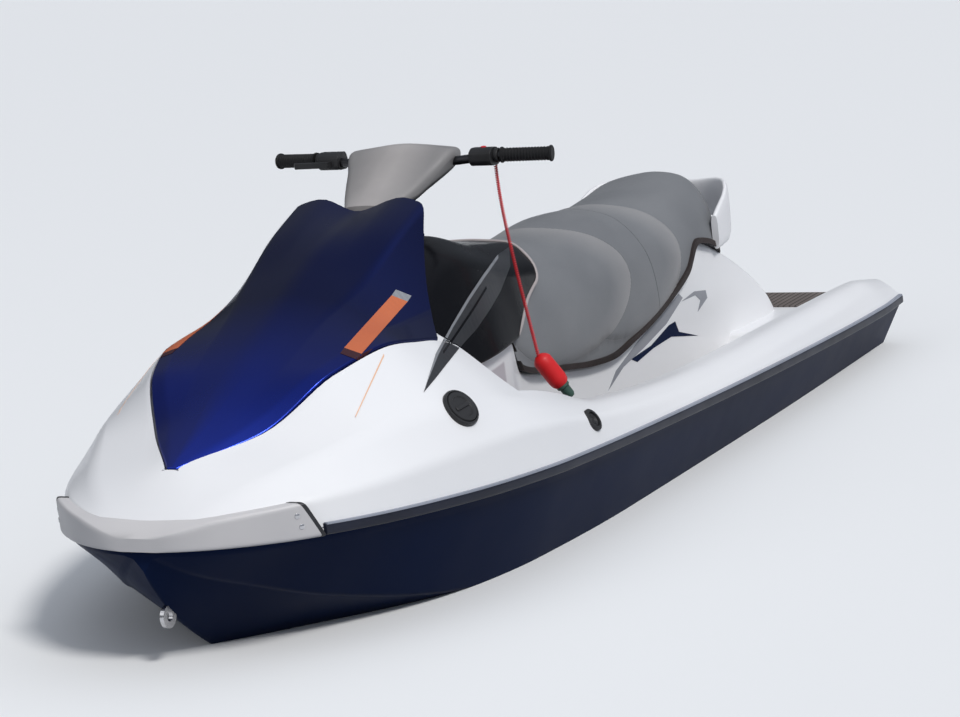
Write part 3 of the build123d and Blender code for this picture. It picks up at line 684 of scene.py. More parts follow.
def screen_material():
    """Dark glass with a paler panel inside."""
    n = Nodes("screen")
    _, y, _ = n.axes()
    panel = n.within(n.math("ABSOLUTE", y), -60, 52, 1.0)
    glass = n.mix(panel, (0.01, 0.011, 0.012), (0.10, 0.115, 0.10))
    n.set(Base_Color=n.mix(n.math("MULTIPLY", n.noise(4.0), 0.3), glass, (0.02, 0.02, 0.02)))
    n.set(Roughness=n.uneven(20.0, 0.06, 0.12), Coat_Weight=1.0)
    return n.material


DECK = deck_material()
HOOD = hood_material()
NAVY = gloss_material("hull_gelcoat", (0.0032, 0.0105, 0.043), (0.0029, 0.0095, 0.039), 0.38, 0.04,
                      spread=0.03)
GLOSS_BLACK = gloss_material("cowl_gloss", (0.003, 0.003, 0.005), (0.0015, 0.0015, 0.0025), 0.22, 0.1)
GRAPHITE = gloss_material("fin_graphite", (0.045, 0.047, 0.052), (0.02, 0.021, 0.025), 0.34, 0.5,
                          metallic=0.3)
SILVER = gloss_material("fin_edge", (0.34, 0.35, 0.37), (0.26, 0.27, 0.29), 0.34, 0.5, metallic=0.4)
ORANGE = gloss_material("strip_orange", (0.62, 0.165, 0.06), (0.5, 0.12, 0.045), 0.34, 0.4)
STRIP_SHADE_RED = gloss_material("strip_shade_red", (0.05, 0.004, 0.01), (0.03, 0.003, 0.008), 0.34, 0.4)
PALE_ORANGE = gloss_material("line_orange", (0.80, 0.5, 0.34), (0.76, 0.46, 0.3), 0.34, 0.4)
GRAPHIC_GREY = gloss_material("graphic_grey", (0.3, 0.31, 0.34), (0.24, 0.25, 0.28), 0.34, 0.4)
TRIM = moulded_material("black_trim", (0.02, 0.02, 0.022), (0.012, 0.012, 0.013), 0.5)
GREY = gloss_material("bumper_grey", (0.6, 0.585, 0.59), (0.54, 0.53, 0.54), 0.42, 0.4)
RAIL = moulded_material("rail_black", (0.010, 0.013, 0.028), (0.006, 0.008, 0.018), 0.42, 500.0, 0.1, 0.35)
# painted highlight: a paler strip on the rub rail's top face stands in for the light falling on it
RAIL_HIGHLIGHT = gloss_material("rail_highlight", (0.3, 0.32, 0.38), (0.24, 0.26, 0.31), 0.4, 0.4)
SEAT = seat_material()
PIPING = moulded_material("piping", (0.42, 0.375, 0.375), (0.35, 0.315, 0.315), 0.5, 700.0, 0.1)
# painted shade: the colour of the dark band along the seat's foot
SEAT_SHADE_BAND = moulded_material("seat_edge_shade", (0.03, 0.02, 0.018), (0.02, 0.014, 0.013), 0.6)
WHITE = gloss_material("handle_white", (0.82, 0.82, 0.84), (0.79, 0.79, 0.81), 0.3, 0.5)
PAD = pad_material()
RUBBER = moulded_material("grip_rubber", (0.010, 0.010, 0.011), (0.006, 0.006, 0.007), 0.62, 900.0, 0.3, 0.3)
STEEL = metal_material("bar_steel", (0.06, 0.06, 0.065), 0.4)
STAINLESS = metal_material("stainless", (0.6, 0.6, 0.62), 0.24)
ALLOY = metal_material("pump_alloy", (0.38, 0.39, 0.41), 0.42)
IRON = metal_material("engine_block", (0.1, 0.1, 0.11), 0.6)
MAT = mat_material()
RED_CORD = moulded_material("lanyard_red", (0.72, 0.035, 0.05), (0.55, 0.02, 0.03), 0.42, 1500.0, 0.15)
RED_FOAM = moulded_material("float_foam", (0.66, 0.012, 0.016), (0.52, 0.01, 0.012), 0.45, 900.0, 0.15)
GREEN_CLIP = moulded_material("clip_green", (0.04, 0.09, 0.07), (0.03, 0.065, 0.05), 0.5, 900.0, 0.15)
RED_BUTTON = moulded_material("button_red", (0.5, 0.01, 0.01), (0.4, 0.008, 0.008), 0.4)
GREEN_BUTTON = moulded_material("button_green", (0.02, 0.22, 0.05), (0.015, 0.17, 0.04), 0.4)
SCREEN = screen_material()


# Hull, with its chine, the pump's tunnel and the intake

def hull_outline(x, keel_z, chine_y, chine_z, beam_y):
    top = sheer_z(x)
    return [
        (0, keel_z), (chine_y, chine_z), (chine_y + 14, chine_z + 4), (beam_y - 14, top - 26),
        (beam_y, top - 1), (beam_y, top + 5), (0, top + 5),
    ]


hull = section_skin("hull_body", HULL_ROWS, hull_outline, (6, 5, 7, 14, 3, 0.5, 1), 25)
pocket_profile = [
    (672, TUB_UNDER), (672, 420), (-1700, 420), (-1700, PLATFORM_Z - WELL_WALL),
    (PLATFORM_X, PLATFORM_Z - WELL_WALL), (TUB_REAR_X, TUB_UNDER),
]
duct_profile = [(-1205, -42), (-1205, -198), (-1150, -300), (-740, -300), (-860, -180), (-1040, -70)]
cut(hull, pocket_profile, WELL_SIDE + WELL_WALL + 1)
cut_box(hull, *BIN_X, BIN_HALF, 120, 700)
cut_box(hull, -1700, -1200, 130, -300, -10)
cut(hull, duct_profile, 70)
smooth(hull, 30)
dress(hull, NAVY, slot="hull_gelcoat", replaces=("hull",))


# Deck: foredeck and gunwales, cut for the hood, the bin and the footwells

def deck_outline(x, b, y1, z1, y2, z2, y3, z3, ym, zm, zc):
    low = sheer_z(x)
    return [(0, low - 5), (b, low - 5), (b, low + 14), (y1, z1), (y2, z2), (y3, z3), (ym, zm), (0, zc)]


def lobes(x, ym, zm, zc):
    """How far the hood's middle sinks between its two lobes, and the height of a lobe."""
    t = max(0.0, min(1.0, (760 - x) / 268))
    t = t * t * (3 - 2 * t)
    return 28 * t, zm + 0.4 * (zc - zm) + 9 * t


def hood_rings(grow, drop, rise, cuts):
    """The hood's sections, grown at its edges, dropped by its wall and raised."""
    rings = []
    for x in stations(16, HOOD_REAR_X, HOOD_TIP_X):
        ye, ze, ym, zm, zc = row_at(HOOD_ROWS, x)
        dip, lobe_z = lobes(x, ym, zm, zc)
        zc -= dip
        f = min(0.45, LIP_WIDTH / (ye - ym))
        swell = LIP_SWELL * min(1.0, (HOOD_TIP_X - x) / 120)
        half = [
            (0, zc - drop), (ym * 0.6, lobe_z - drop), (ym, zm - drop), (ye + grow, ze - drop - 1.3 * grow),
            (ye + grow, ze + rise), (ye - f * (ye - ym) + grow, ze + f * (zm - ze) + swell + rise),
            (ym, zm + rise), (ym * 0.6, lobe_z + rise), (0, zc + rise),
        ]
        rings.append(section(x, half, cuts, 3))
    return rings


deck = section_skin("deck_body", DECK_ROWS, deck_outline, (1, 0.5, 9, 15, 24, 26, 16, 30), 20, 5)
tub_profile = [
    (670, TUB_UNDER), (670, 250), (-1600, 190), (-1600, PLATFORM_Z - 11), (PLATFORM_X, PLATFORM_Z - 11),
    (TUB_REAR_X, TUB_UNDER),
]
well_profile = [
    (480, WELL_FLOOR), (660, 420), (660, 760), (-1700, 760), (-1700, PLATFORM_Z),
    (PLATFORM_X + 12, PLATFORM_Z), (-1010, WELL_FLOOR),
]
recess = hood_rings(PANEL_GAP, HOOD_WALL + PANEL_GAP, 240, (1,) * 9)
recess.append([(HOOD_TIP_X + PANEL_GAP, y, z) for _, y, z in recess[-1]])
cut(deck, tub_profile, WELL_SIDE + WELL_WALL, "UNION")
cut(deck, rounded(well_profile, (60, 30, 1, 1, 1, 12, 25), 6), WELL_SIDE)
carve(deck, skin("recess", recess))
cut_box(deck, *BIN_X, BIN_HALF, 0, 760)
vent_spot, vent_way = seated(surface(deck), *VENT_SEAT)
socket_profile = [(-0.012, 0.0), (-0.012, 0.0294), (0.03, 0.0294), (0.03, 0.0)]
carve(deck, lathe("vent_socket", socket_profile, vent_spot, vent_way, 40))
smooth(deck, 30)
dress(deck, DECK, slot="deck_gelcoat", replaces=("deck",))


# Pedestal under the seat, out to the tail

def pedestal_top(x):
    return row_at(PEDESTAL_TOP, x)[0]


pedestal_rings = []
for x in stations(16, PEDESTAL_REAR_X, PEDESTAL_FRONT_X):
    half_y, top = row_at(PEDESTAL_PLAN, x)[0], pedestal_top(x)
    flare = 34 * max(0.0, min(1.0, (-x - 1000) / 300))
    tuck = 10 + 10 * max(0.0, min(1.0, (-x - 900) / 100))
    foot = (half_y + 10 + flare, 30)
    half = [(0, 30), foot, (half_y - tuck * 0.4, (30 + top) / 2), (half_y - tuck, top), (0, top + 2)]
    pedestal_rings.append(section(x, half, (1, 4, 60, 12, 30), 4))
pedestal = skin("pedestal_shell", pedestal_rings)
carve(pedestal, skin("recess", recess))
smooth(pedestal, 34)
dress(pedestal, DECK, slot="deck_gelcoat", replaces=("deck",))


# Hood: a shell with a crisp ridge forward and two lobes at its rear edge

def hood_edge(z):
    """x of the hood's slanted rear edge at a height."""
    (x1, z1), (x2, z2) = HOOD_EDGE
    return x1 + (x2 - x1) / (z2 - z1) * (z - z1)


hood = skin("hood_shell", hood_rings(0, HOOD_WALL, 0, (8, 20, 4, 3, 4, 9, 16, 34, 26)))
cut(hood, [(hood_edge(1500), 1500), (hood_edge(0), 0), (300, -400), (-400, 0), (-400, 1500)], 500)
smooth(hood, 32)
dress(hood, HOOD, body="hood", slot="hood_paint", replaces=("hood",))


# Console and side cowls

def cowl_outline(x, yf, zf, yk, zk, ys, zs, zc):
    return [(0, zf), (yf, zf), (yk, zk), (ys, zs), (0, zc)]


cowl = section_skin("cowl_shell", COWL_ROWS, cowl_outline, (1, 6, 30, 26, 30), 20, 5)
edge = [(-74, 1500)] + list(SEAT_FRONT_EDGE) + [(188, 0)]
cut(cowl, [(hood_edge(1500) - PANEL_GAP, 1500), (hood_edge(0) - PANEL_GAP, 0), (1500, 0), (1500, 1500)], 500)
cut(cowl, [(x + 0.5, z) for x, z in edge] + [(-700, 0), (-700, 1500)], 500)
cut_box(cowl, 60, 200, 80, 540, 800)
smooth(cowl, 32)
dress(cowl, GLOSS_BLACK, slot="cowl_gloss", replaces=("console", "side_cowl_port", "side_cowl_starboard"))


# Seats: crowned cushions, cut to the pedestal and to their front edge, with a front piping and a dark band of
# painted shade along their foot

def even(points, count):
    """The closed ring's line with evenly spaced points."""
    ring = [Vector(p) for p in points]
    ring.append(ring[0])
    reach = [0.0]
    for p, q in zip(ring, ring[1:]):
        reach.append(reach[-1] + (q - p).length)
    result, k = [], 0
    for i in range(count):
        s = reach[-1] * i / count
        while reach[k + 1] < s:
            k += 1
        size = reach[k + 1] - reach[k]
        result.append(ring[k].lerp(ring[k + 1], (s - reach[k]) / size if size else 0))
    return result


def bulge(x, z):
    """How far the padding swells at a place in side view: two lobes, each ending in a crease."""
    best = 0.0
    for (cx, cz), a, b in SEAT_LOBES:
        s = 1 - ((x - cx) / a) ** 2 - ((z - cz) / b) ** 2
        if s > 0:
            best = max(best, 7.5 * math.sqrt(1 - (1 - min(1.0, s / 0.3)) ** 2))
    return best


def seat_rings(low, high, grow, swell):
    """The seat's sections, grown all round and swollen with the padding."""
    rings = []
    for x in stations(7, low, high):
        yf, zf, yk, zk, ys, zs, zc = row_at(SEAT_ROWS, x)
        half = [(0, zf), (yf - 6 + grow, zf), (yf + grow, (zf + zk) / 2), (yk + grow, zk), (ys, zs + grow),
                (0, zc + grow)]
        ring = even([(y, z) for _, y, z in section(x, half, (1, 10, 80, 70, 46, 60), 6)], 120)
        placed = []
        for i, p in enumerate(ring):
            way = ring[(i + 1) % len(ring)] - ring[i - 1]
            way = Vector((way.y, -way.x)).normalized()
            q = p + way * bulge(x, p.y) * swell if p.y > zf + 5 else p
            placed.append((x, q.x, q.y))
        rings.append(placed)
    return rings


def seat_base(lift):
    """The pedestal's top in side view, raised."""
    return [(x, pedestal_top(x) + lift) for x in stations(12, PEDESTAL_REAR_X, PEDESTAL_FRONT_X)]


def seat_part(name, low, high, material, highest=None, grow=0.0):
    """A stretch of the seat down to the pedestal, whole or up to a height over it."""
    obj = skin(name, seat_rings(low, high, grow, 0.0 if highest else 1.0))
    cut(obj, [(PEDESTAL_REAR_X, -100)] + seat_base(-1) + [(PEDESTAL_FRONT_X, -100)], 420)
    if highest:
        cut(obj, [(PEDESTAL_REAR_X, 900)] + seat_base(highest) + [(PEDESTAL_FRONT_X, 900)], 420)
    cut(obj, edge + [(900, 0), (900, 1500)], 420)
    smooth(obj)
    return dress(obj, material, slot="seat_vinyl")


seat_front = seat_part("seat_front_cushion", SEAT_SPLIT, SEAT_FRONT_X, SEAT)
seat_rear = seat_part("seat_rear_cushion", SEAT_REAR_X, SEAT_SPLIT - 2, SEAT)
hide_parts("seat_front")
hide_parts("seat_rear")
# painted shade: a dark band round the seat's foot stands in for the shadow in the gap over the pedestal
seat_part("seat_foot_shade", SEAT_REAR_X, SEAT_FRONT_X, SEAT_SHADE_BAND, 14, 8.5)

# The piping follows the seam: rays on each side of it find the higher surface, and the line is evened out
seam = surface(cowl, seat_front)
side_path = []
for a, b in zip(SEAT_FRONT_EDGE, SEAT_FRONT_EDGE[1:]):
    for k in range(8):
        x, z = Vector(a).lerp(Vector(b), k / 8)
        starts = [Vector(((x + shift) * MM, 0.5, z * MM)) for shift in (-7, 8)]
        spots = [seam.ray_cast(start, Vector((0, -1, 0)))[0] for start in starts]
        if z > 372 and all(spots):
            side_path.append(Vector((x * MM, max(spot.y for spot in spots) - 0.0015, z * MM)))
top_path = []
for k in range(-9, 10):
    y = side_path[0].y * k / 10
    starts = [Vector((side_path[0].x + shift, y, 0.9)) for shift in (-0.008, 0.008)]
    spots = [seam.ray_cast(start, Vector((0, 0, -1)))[0] for start in starts]
    if all(spots):
        top_path.append(Vector((side_path[0].x, y, max(spot.z for spot in spots) - 0.0015)))
whole_path = [Vector((p.x, -p.y, p.z)) for p in reversed(side_path)] + top_path + side_path
end = len(whole_path) - 1
threes = [[whole_path[min(max(i + k, 0), end)] for k in (-1, 0, 1)] for i in range(end + 1)]
whole_path = [sum(three, Vector()) / 3 for three in threes]
piping_radii = [PIPING_R * min(1.0, 0.25 + 0.25 * min(i, end - i)) for i in range(end + 1)]
piping = tube("seat_piping", whole_path, piping_radii, 10)
smooth(piping, 60)
dress(piping, PIPING, slot="seat_vinyl")


# Grab handle: one bent section round the seat's rear

half_path = [Vector((x, y, 0)) for x, y in HANDLE_PLAN]
path = half_path + [Vector((p.x, -p.y, 0)) for p in reversed(half_path[:-1])]
handle_rings = []
for i, p in enumerate(path):
    along = (path[min(i + 1, len(path) - 1)] - path[max(i - 1, 0)]).normalized()
    out = Vector((along.y, -along.x, 0))
    if out.dot(p - Vector((-1050, 0, 0))) < 0 and abs(p.y) < 200:
        out = -out
    if abs(p.y) >= 200:
        out = Vector((0, math.copysign(1, p.y), 0))
    high, low = row_at(HANDLE_HIGH, p.x)[0], row_at(HANDLE_LOW, p.x)[0]
    ring = []
    for k in range(24):
        t = 2 * math.pi * k / 24
        u = math.copysign(abs(math.cos(t)) ** 0.7, math.cos(t))
        v = math.copysign(abs(math.sin(t)) ** 0.55, math.sin(t))
        q = p + out * (10.0 * u)
        ring.append((q.x, q.y, (high + low) / 2 + (high - low) / 2 * v))
    handle_rings.append(ring)
handle = skin("handle_band", handle_rings)
smooth(handle, 50)
dress(handle, WHITE, slot="handle_white", replaces=("grab_handle",))


# Bumper and rails

def bumper_outline(x, y, low, high):
    base = sheer_z(x) + low
    return [(0, base), (y + 12, base), (y + 12, high), (0, high)]


def bumper_body(name, grow=0.0):
    rows = [(x, y + grow, low - grow, high + grow) for x, y, low, high in BUMPER_ROWS]
    return section_skin(name, rows, bumper_outline, (1, 10, 12, 1), 12, 4, 1392, 1614)


def cut_slanted(obj, x, far_x):
    """Cut away what lies between the bumper's slanted end and far_x."""
    cut(obj, [(x, 0), (x, 270), (x + 40, 360), (x + 40, 900), (far_x, 900), (far_x, 0)], 800)


bumper = bumper_body("bumper_shell")
cut_slanted(bumper, 1408, 0)
smooth(bumper)
dress(bumper, GREY, slot="bumper_grey", replaces=("bow_bumper",))
cuff = bumper_body("bumper_cuff", 0.8)
cut_slanted(cuff, 1400, 0)
cut_slanted(cuff, 1408, 1900)
smooth(cuff)
dress(cuff, STEEL, slot="bumper_grey")


def rail_outline(x, b, *_):
    low = sheer_z(x)
    return [(0, low - 14), (b + 9, low - 14), (b + 9, low + 12), (0, low + 12)]


# a thin strip along the rail's top, for the painted highlight
def highlight_outline(x, b, *_):
    low = sheer_z(x)
    return [(0, low + 9), (b + 9.2, low + 9), (b + 7.5, low + 14), (0, low + 14)]


def inner_outline(x, b):
    return [(0, 0), (b, 0), (b, 600), (0, 600)]


inner_rows = [(x, b - 8) for x, b, *_ in DECK_ROWS]
for name, outline, cuts, steps, rear_x, front_x, material, nodes in (
    ("rail_shell", rail_outline, (1, 8, 8, 1), 4, -1600, 1398, RAIL, ("rub_rail_port", "rub_rail_starboard")),
    ("rail_highlight", highlight_outline, (0.5, 1, 1, 0.5), 2, -1598, 1396, RAIL_HIGHLIGHT, ()),
):
    rail = section_skin(name, DECK_ROWS, outline, cuts, 25, steps, rear_x, front_x)
    core = section_skin("rail_core", inner_rows, inner_outline, (0.5,) * 4, 25, 1, -1700, 1500)
    carve(rail, core)
    smooth(rail)
    dress(rail, material, slot="rail_black", replaces=nodes)


# Graphics, each side mirrored

skins = surface(deck, pedestal, hood, cowl)
skin_owners = [obj.name for obj in (deck, pedestal, hood, cowl) for _ in obj.data.polygons]
for name, outline, plane, material, body, lift, thick in (
    ("fin", FIN, 320, GRAPHITE, "craft", 1.6, 1.4),
    ("fin_edge", FIN_EDGE, 320, SILVER, "craft", 2.2, 0.9),
    ("fin_line", FIN_LINE, 320, GLOSS_BLACK, "craft", 2.1, 0.6),
    ("strip", STRIP, 260, ORANGE, "hood", 0.9, 0.7),
    ("strip_tip", STRIP_TIP, 260, SILVER, "hood", 0.9, 0.7),
    ("strip_shade", STRIP_SHADE, 260, STRIP_SHADE_RED, "hood", 0.8, 0.6),
    ("deck_line", DECK_LINE, 390, PALE_ORANGE, "craft", 0.7, 0.5),
    ("arrow_blade", BLADE, 222, GRAPHIC_GREY, "craft", 0.8, 0.6),
    ("arrow_hook", HOOK, 222, NAVY, "craft", 0.8, 0.6),
    ("arrow_arc", ARC, 222, GRAPHIC_GREY, "craft", 0.8, 0.6),
):
    allowed = (hood.name,) if body == "hood" else (deck.name, pedestal.name, cowl.name)
    step = 2.5 if name.startswith("fin") else 5.0
    sheet = laid_on(name + "_port", outline, plane, skins, skin_owners, allowed, lift, thick, step)
    slot = {"hood": "hood_paint"}.get(body, "cowl_gloss" if name.startswith("fin") else "deck_gelcoat")
    pair(sheet, name + "_starboard", material, body=body, slot=slot)


# Handlebar: pad, grips, housings and the bellows round the column

def pad_outline(x, low_c, low_y, low_z, high_y, high_z, high_c):
    return [(0, low_c), (low_y, low_z), (high_y, high_z), (0, high_c)]


pad = section_skin("pad_shell", PAD_ROWS, pad_outline, (14, 16, 24, 40), 8, 6)
soften(pad, 0.004, 2, 50)
smooth(pad, 44)
dress(pad, PAD, body="steering", slot="pad_grey", replaces=("bar_pad",))

end, bend = Vector(BAR_END) * MM, Vector(BAR_BEND) * MM
along = (end - bend).normalized()
grip_profile = [(0.0, 0.0113), (0.0, 0.0195), (0.004, 0.0200), (0.006, 0.0172)]
for k in range(14):
    a = 0.009 + k * 0.0078
    grip_profile += [(a, 0.0172), (a + 0.0012, 0.0160), (a + 0.0040, 0.0160), (a + 0.0052, 0.0172)]
grip_profile += [
    (0.122, 0.0172), (0.124, 0.0200), (0.128, 0.0198), (0.130, 0.017), (0.130, 0.0), (0.1256, 0.0),
    (0.1256, 0.0113),
]
grip = lathe("grip_sleeve_port", grip_profile, end - along * 0.125, along, 32)
smooth(grip, 35)
grip_twin = mirrored(grip, "grip_sleeve_starboard")
dress(grip, RUBBER, body="steering", slot="grip_rubber", replaces=("grip_port",))
dress(grip_twin, RUBBER, body="steering", slot="grip_rubber", replaces=("grip_starboard",))

housing_side = (
    (218, 878), (226, 872), (258, 874), (269, 884), (268, 908), (252, 918), (224, 916), (217, 900),
)
housing = prism("housing_port", rounded(housing_side, 6), 184, 244)
soften(housing, 0.005, 3, 50)
smooth(housing)
collar_profile = [(0, 0.0115), (0, 0.0165), (0.002, 0.018), (0.010, 0.018), (0.012, 0.0165), (0.012, 0.0115)]
collar = lathe("collar_port", collar_profile, bend - Vector((0, 0.006, 0)), Vector((0, 1, 0)), 28)
smooth(collar)
housing_twin = mirrored(housing, "housing_starboard")
dress(housing, TRIM, "steering", replaces=("switch_housing",))
dress(housing_twin, TRIM, "steering", replaces=("throttle_housing",))
pair(collar, "collar_starboard", TRIM, "steering")

for name, place, way, radius, high, material in (
    ("stop_button", (219, 205, 897), (-1, 0, 0.1), 0.008, 0.005, RED_BUTTON),
    ("start_button", (219, 228, 897), (-1, 0, 0.1), 0.007, 0.004, GREEN_BUTTON),
    ("tether_post", (240, 214, 917), (0, 0, 1), 0.007, 0.003, RED_CORD),
):
    profile = [(-0.004, 0.0), (-0.004, radius), (high - 0.001, radius), (high, radius - 0.001), (high, 0.0)]
    turned(name, profile, Vector(place) * MM, way, material, "steering", sides=24)


def on_axis(t):
    """A point on the steering axis, t millimetres below the bar."""
    return Vector((STEER_X + t * math.sin(STEER_TILT), 0, STEER_Z - t * math.cos(STEER_TILT))) * MM


bellows_profile = [(0.0, 0.028), (0.0, 0.066), (0.006, 0.066)]
for k in range(7):
    r = 0.066 - 0.0036 * k
    a = 0.008 + k * 0.0148
    bellows_profile += [(a, r - 0.006), (a + 0.0045, r - 0.0005)]
    bellows_profile += [(a + 0.0095, r - 0.001), (a + 0.0125, r - 0.007)]
bellows_profile += [(0.112, 0.038), (0.115, 0.036), (0.115, 0.028)]
turned("bellows", bellows_profile, on_axis(240), on_axis(125) - on_axis(240), RUBBER, angle=50,
       replaces=("steering_base",))


# Fuel cap, breather and small fastenings

cap_spot, cap_way = seated(surface(deck), *CAP_SEAT)
ring_profile = [(-0.03, 0.042), (-0.03, 0.048), (0.005, 0.048), (0.009, 0.046), (0.009, 0.042)]
disc_profile = [
    (-0.03, 0.0), (-0.03, 0.041), (0.0075, 0.041), (0.0115, 0.0385), (0.0115, 0.029), (0.0085, 0.026),
    (0.0085, 0.0),
]
turned("cap_ring", ring_profile, cap_spot, cap_way, TRIM, sides=48, replaces=("fuel_cap",))
turned("cap_disc", disc_profile, cap_spot, cap_way, TRIM, sides=48, replaces=("fuel_cap",))
across = (Vector((1, 0, 0)) - cap_way * cap_way.x).normalized()
up_slope = cap_way.cross(across)
corners = []
for a in (0.005, 0.013):
    for u, v in ((-0.026, -0.005), (0.026, -0.005), (0.026, 0.005), (-0.026, 0.005)):
        corners.append(cap_spot + cap_way * a + across * u + up_slope * v)
sides = [(0, 1, 2, 3), (4, 5, 6, 7), (0, 1, 5, 4), (1, 2, 6, 5), (2, 3, 7, 6), (3, 0, 4, 7)]
cap_bar = new_object("cap_bar", corners, sides)
soften(cap_bar, 0.0025, 3, 40)
smooth(cap_bar)
dress(cap_bar, TRIM)

ring_profile = [
    (-0.013, 0.019), (-0.013, 0.029), (0.002, 0.029), (0.0045, 0.026), (0.0045, 0.020), (0.001, 0.019),
]
core_profile = [
    (-0.013, 0.0), (-0.013, 0.0195), (-0.001, 0.0195), (0.0015, 0.016), (-0.001, 0.0125), (0.0015, 0.009),
    (-0.001, 0.0055), (0.0015, 0.0),
]
turned("vent_ring", ring_profile, vent_spot, vent_way, TRIM, replaces=("side_vent",))
turned("vent_core", core_profile, vent_spot, vent_way, TRIM)

bumper_skin = surface(bumper)
for name, x, z in (("bumper_screw", 1452, 325), ("bumper_screw_low", 1446, 300)):
    spot, normal, *_ = bumper_skin.ray_cast(Vector((x * MM, 0.6, z * MM)), Vector((0, -1, 0)))
    profile = [(-0.002, 0.0), (-0.002, 0.006), (0.0012, 0.006), (0.0022, 0.004), (0.0022, 0.0)]
    screw = lathe(name + "_port", profile, spot, normal, 20)
    smooth(screw)
    pair(screw, name + "_starboard", STAINLESS, slot="stainless")


# Finishes for the CAD pieces that stay

for node, material in (
    ("storage_bin", TRIM), ("hood_pin", STAINLESS), ("glove_lid", GLOSS_BLACK), ("lid_pin", STAINLESS),
    ("engine", IRON), ("dash", TRIM), ("display", SCREEN), ("steering_stem", STEEL), ("handlebar", STEEL),
    ("throttle_lever", TRIM), ("foot_mat_port", MAT), ("foot_mat_starboard", MAT), ("platform_mat", MAT),
    ("ride_plate", ALLOY), ("pump_housing", ALLOY), ("impeller", STAINLESS), ("nozzle", ALLOY),
    ("intake_grate", ALLOY), ("sponson_port", TRIM), ("sponson_starboard", TRIM), ("bow_eye", STAINLESS),
    ("stern_eye_port", STAINLESS), ("stern_eye_starboard", STAINLESS),
):
    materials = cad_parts[node].data.materials
    materials.clear()
    materials.append(material)


# Lanyard: a curly cord along its route, then the float and its clip

curve = bpy.data.curves.new("lanyard_route", "CURVE")
curve.dimensions = "3D"
spline = curve.splines.new("NURBS")
spline.points.add(len(LANYARD) - 1)
for point, place in zip(spline.points, LANYARD):
    point.co = (*[c * MM for c in place], 1)
spline.order_u = 3
spline.use_endpoint_u = True
spline.resolution_u = 24
guide = bpy.data.objects.new("lanyard_route", curve)
bpy.context.scene.collection.objects.link(guide)
line = [v.co.copy() for v in bpy.data.meshes.new_from_object(guide).vertices]
bpy.data.objects.remove(guide)
lengths = [0.0]
for a, b in zip(line, line[1:]):
    lengths.append(lengths[-1] + (b - a).length)


def along_line(s):
    """The place and direction at a distance along the route."""
    k = max(i for i in range(len(line) - 1) if lengths[i] <= s + 1e-9)
    step = line[k + 1] - line[k]
    return line[k] + step * ((s - lengths[k]) / step.length), step.normalized()


turns = []
coil_r, wire_r, pitch = 0.0034, 0.0016, 0.0056
steps = 12
samples = int(lengths[-1] / pitch * steps)
around = None
for k in range(samples + 1):
    place, way = along_line(lengths[-1] * k / samples)
    around = way.orthogonal() if around is None else around - way * around.dot(way)
    around.normalize()
    t = 2 * math.pi * k / steps
    turns.append(place + (around * math.cos(t) + way.cross(around) * math.sin(t)) * coil_r)
lanyard = tube("lanyard_curl", turns, wire_r, 7)
smooth(lanyard, 60)
dress(lanyard, RED_CORD, body="steering", slot="lanyard_red", replaces=("lanyard",))

top, low, tail = Vector(LANYARD[-1]) * MM, Vector(FLOAT_END) * MM, Vector(CLIP_END) * MM
long = (low - top).length
float_profile = [
    (0.0, 0.0), (0.0, 0.010), (0.006, 0.018), (0.014, 0.0235), (0.030, 0.024), (long - 0.020, 0.024),
    (long - 0.008, 0.0215), (long, 0.015), (long, 0.0),
]
buoy = turned("float_body", float_profile, top, low - top, RED_FOAM, "steering", "float_foam", 36,
              replaces=("lanyard_float",))
long = (tail - low).length
clip_profile = [
    (-0.004, 0.0), (-0.004, 0.0165), (0.004, 0.017), (0.008, 0.013), (long - 0.006, 0.0125),
    (long, 0.009), (long, 0.0),
]
clip = turned("float_clip", clip_profile, low, tail - low, GREEN_CLIP, "steering", "float_foam", 30)


# Floor at the waterline, lights and camera

def floor_look():
    """A pale floor for the eye and for reflections that throws little light back up at the hull."""
    n = Nodes("floor")
    rays = n.put("ShaderNodeLightPath")
    seen = n.math("MAXIMUM", rays.outputs["Is Camera Ray"], rays.outputs["Is Transmission Ray"])
    seen = n.math("MAXIMUM", seen, rays.outputs["Is Glossy Ray"])
    n.set(Base_Color=n.mix(seen, (0.30, 0.32, 0.35), (0.84, 0.85, 0.86)), Roughness=0.8)
    n.set(Specular_IOR_Level=0.1)
    return n.material


floor = new_object("floor", [(-40, -40, 0), (40, -40, 0), (40, 40, 0), (-40, 40, 0)], [(0, 1, 2, 3)])
floor.data.materials.append(floor_look())

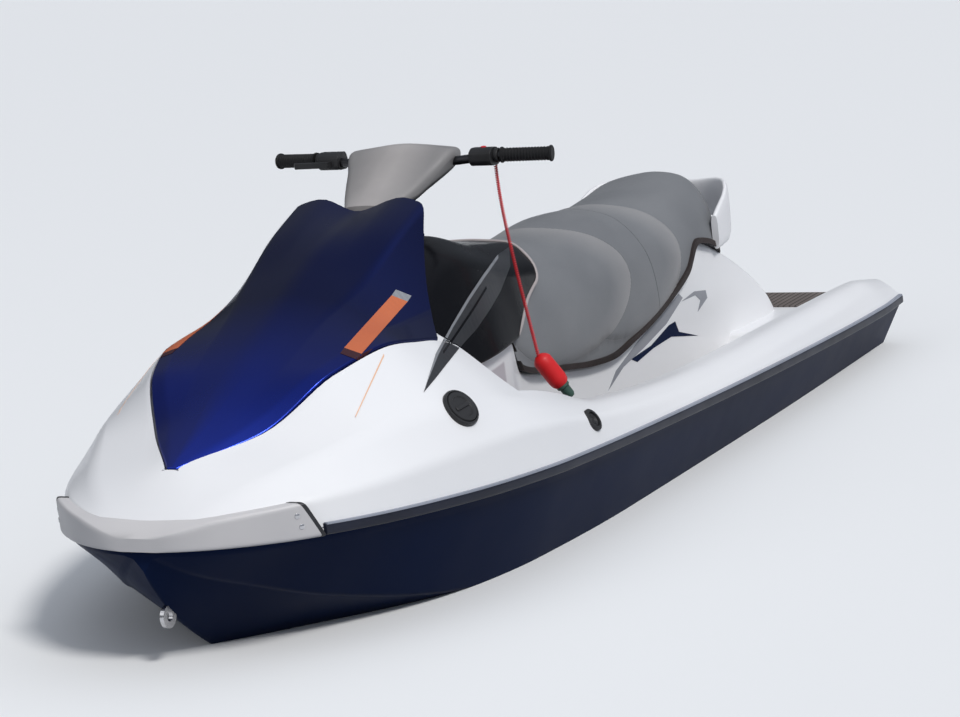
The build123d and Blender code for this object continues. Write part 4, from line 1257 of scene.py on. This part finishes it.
world = bpy.data.worlds.new("studio")
world.use_nodes = True
tree = world.node_tree
split = tree.nodes.new("ShaderNodeSeparateXYZ")
tree.links.new(tree.nodes.new("ShaderNodeTexCoord").outputs["Generated"], split.inputs[0])
rise, side = [tree.nodes.new("ShaderNodeMapRange") for _ in range(2)]
tree.links.new(split.outputs[2], rise.inputs[0])
tree.links.new(split.outputs[1], side.inputs[0])
for node, values in ((rise, (0.05, 0.75, 0.0, 1.0)), (side, (-0.75, 0.55, 0.32, 1.07))):
    for socket, value in zip((1, 2, 3, 4), values):
        node.inputs[socket].default_value = value
sky = tree.nodes.new("ShaderNodeMix")
sky.data_type = "RGBA"
tree.links.new(rise.outputs[0], sky.inputs[0])
sky.inputs[6].default_value = (0.15, 0.17, 0.20, 1.0)
sky.inputs[7].default_value = (0.68, 0.73, 0.82, 1.0)
tree.links.new(sky.outputs[2], tree.nodes["Background"].inputs["Color"])
tree.links.new(side.outputs[0], tree.nodes["Background"].inputs["Strength"])
bpy.context.scene.world = world


def aim(obj, place, target):
    """Put an object into the scene, pointed at a target."""
    obj.location = place
    obj.rotation_euler = (Vector(target) - Vector(place)).to_track_quat("-Z", "Y").to_euler()
    bpy.context.scene.collection.objects.link(obj)


sun = bpy.data.lights.new("sun", "SUN")
sun.energy = 2.0
sun.angle = math.radians(12)
sun.color = (1.0, 0.975, 0.94)
aim(bpy.data.objects.new("sun", sun), (2.0, 3.6, 5.0), (0, 0, 0.3))
soft = bpy.data.lights.new("soft", "AREA")
soft.shape = "DISK"
soft.size = 4.0
soft.energy = 40
aim(bpy.data.objects.new("soft", soft), (5.5, -3.0, 4.0), (0.2, 0, 0.4))

camera = bpy.data.cameras.new("camera")
camera.sensor_width = 36.0
camera.lens = FOCAL_PX * ZOOM / WIDTH_PX * camera.sensor_width
camera_object = bpy.data.objects.new("camera", camera)
toward = (Vector(LOOK_AT) - Vector(CAMERA_PLACE)).normalized()
right = Vector(CAMERA_RIGHT)
right = (right - toward * right.dot(toward)).normalized()
up = right.cross(toward)
rotation = Matrix((right, up, -toward)).transposed()
camera_object.matrix_world = Matrix.Translation(CAMERA_PLACE) @ rotation.to_4x4()
bpy.context.scene.collection.objects.link(camera_object)
bpy.context.scene.camera = camera_object
bpy.context.scene.view_settings.view_transform = "Standard"
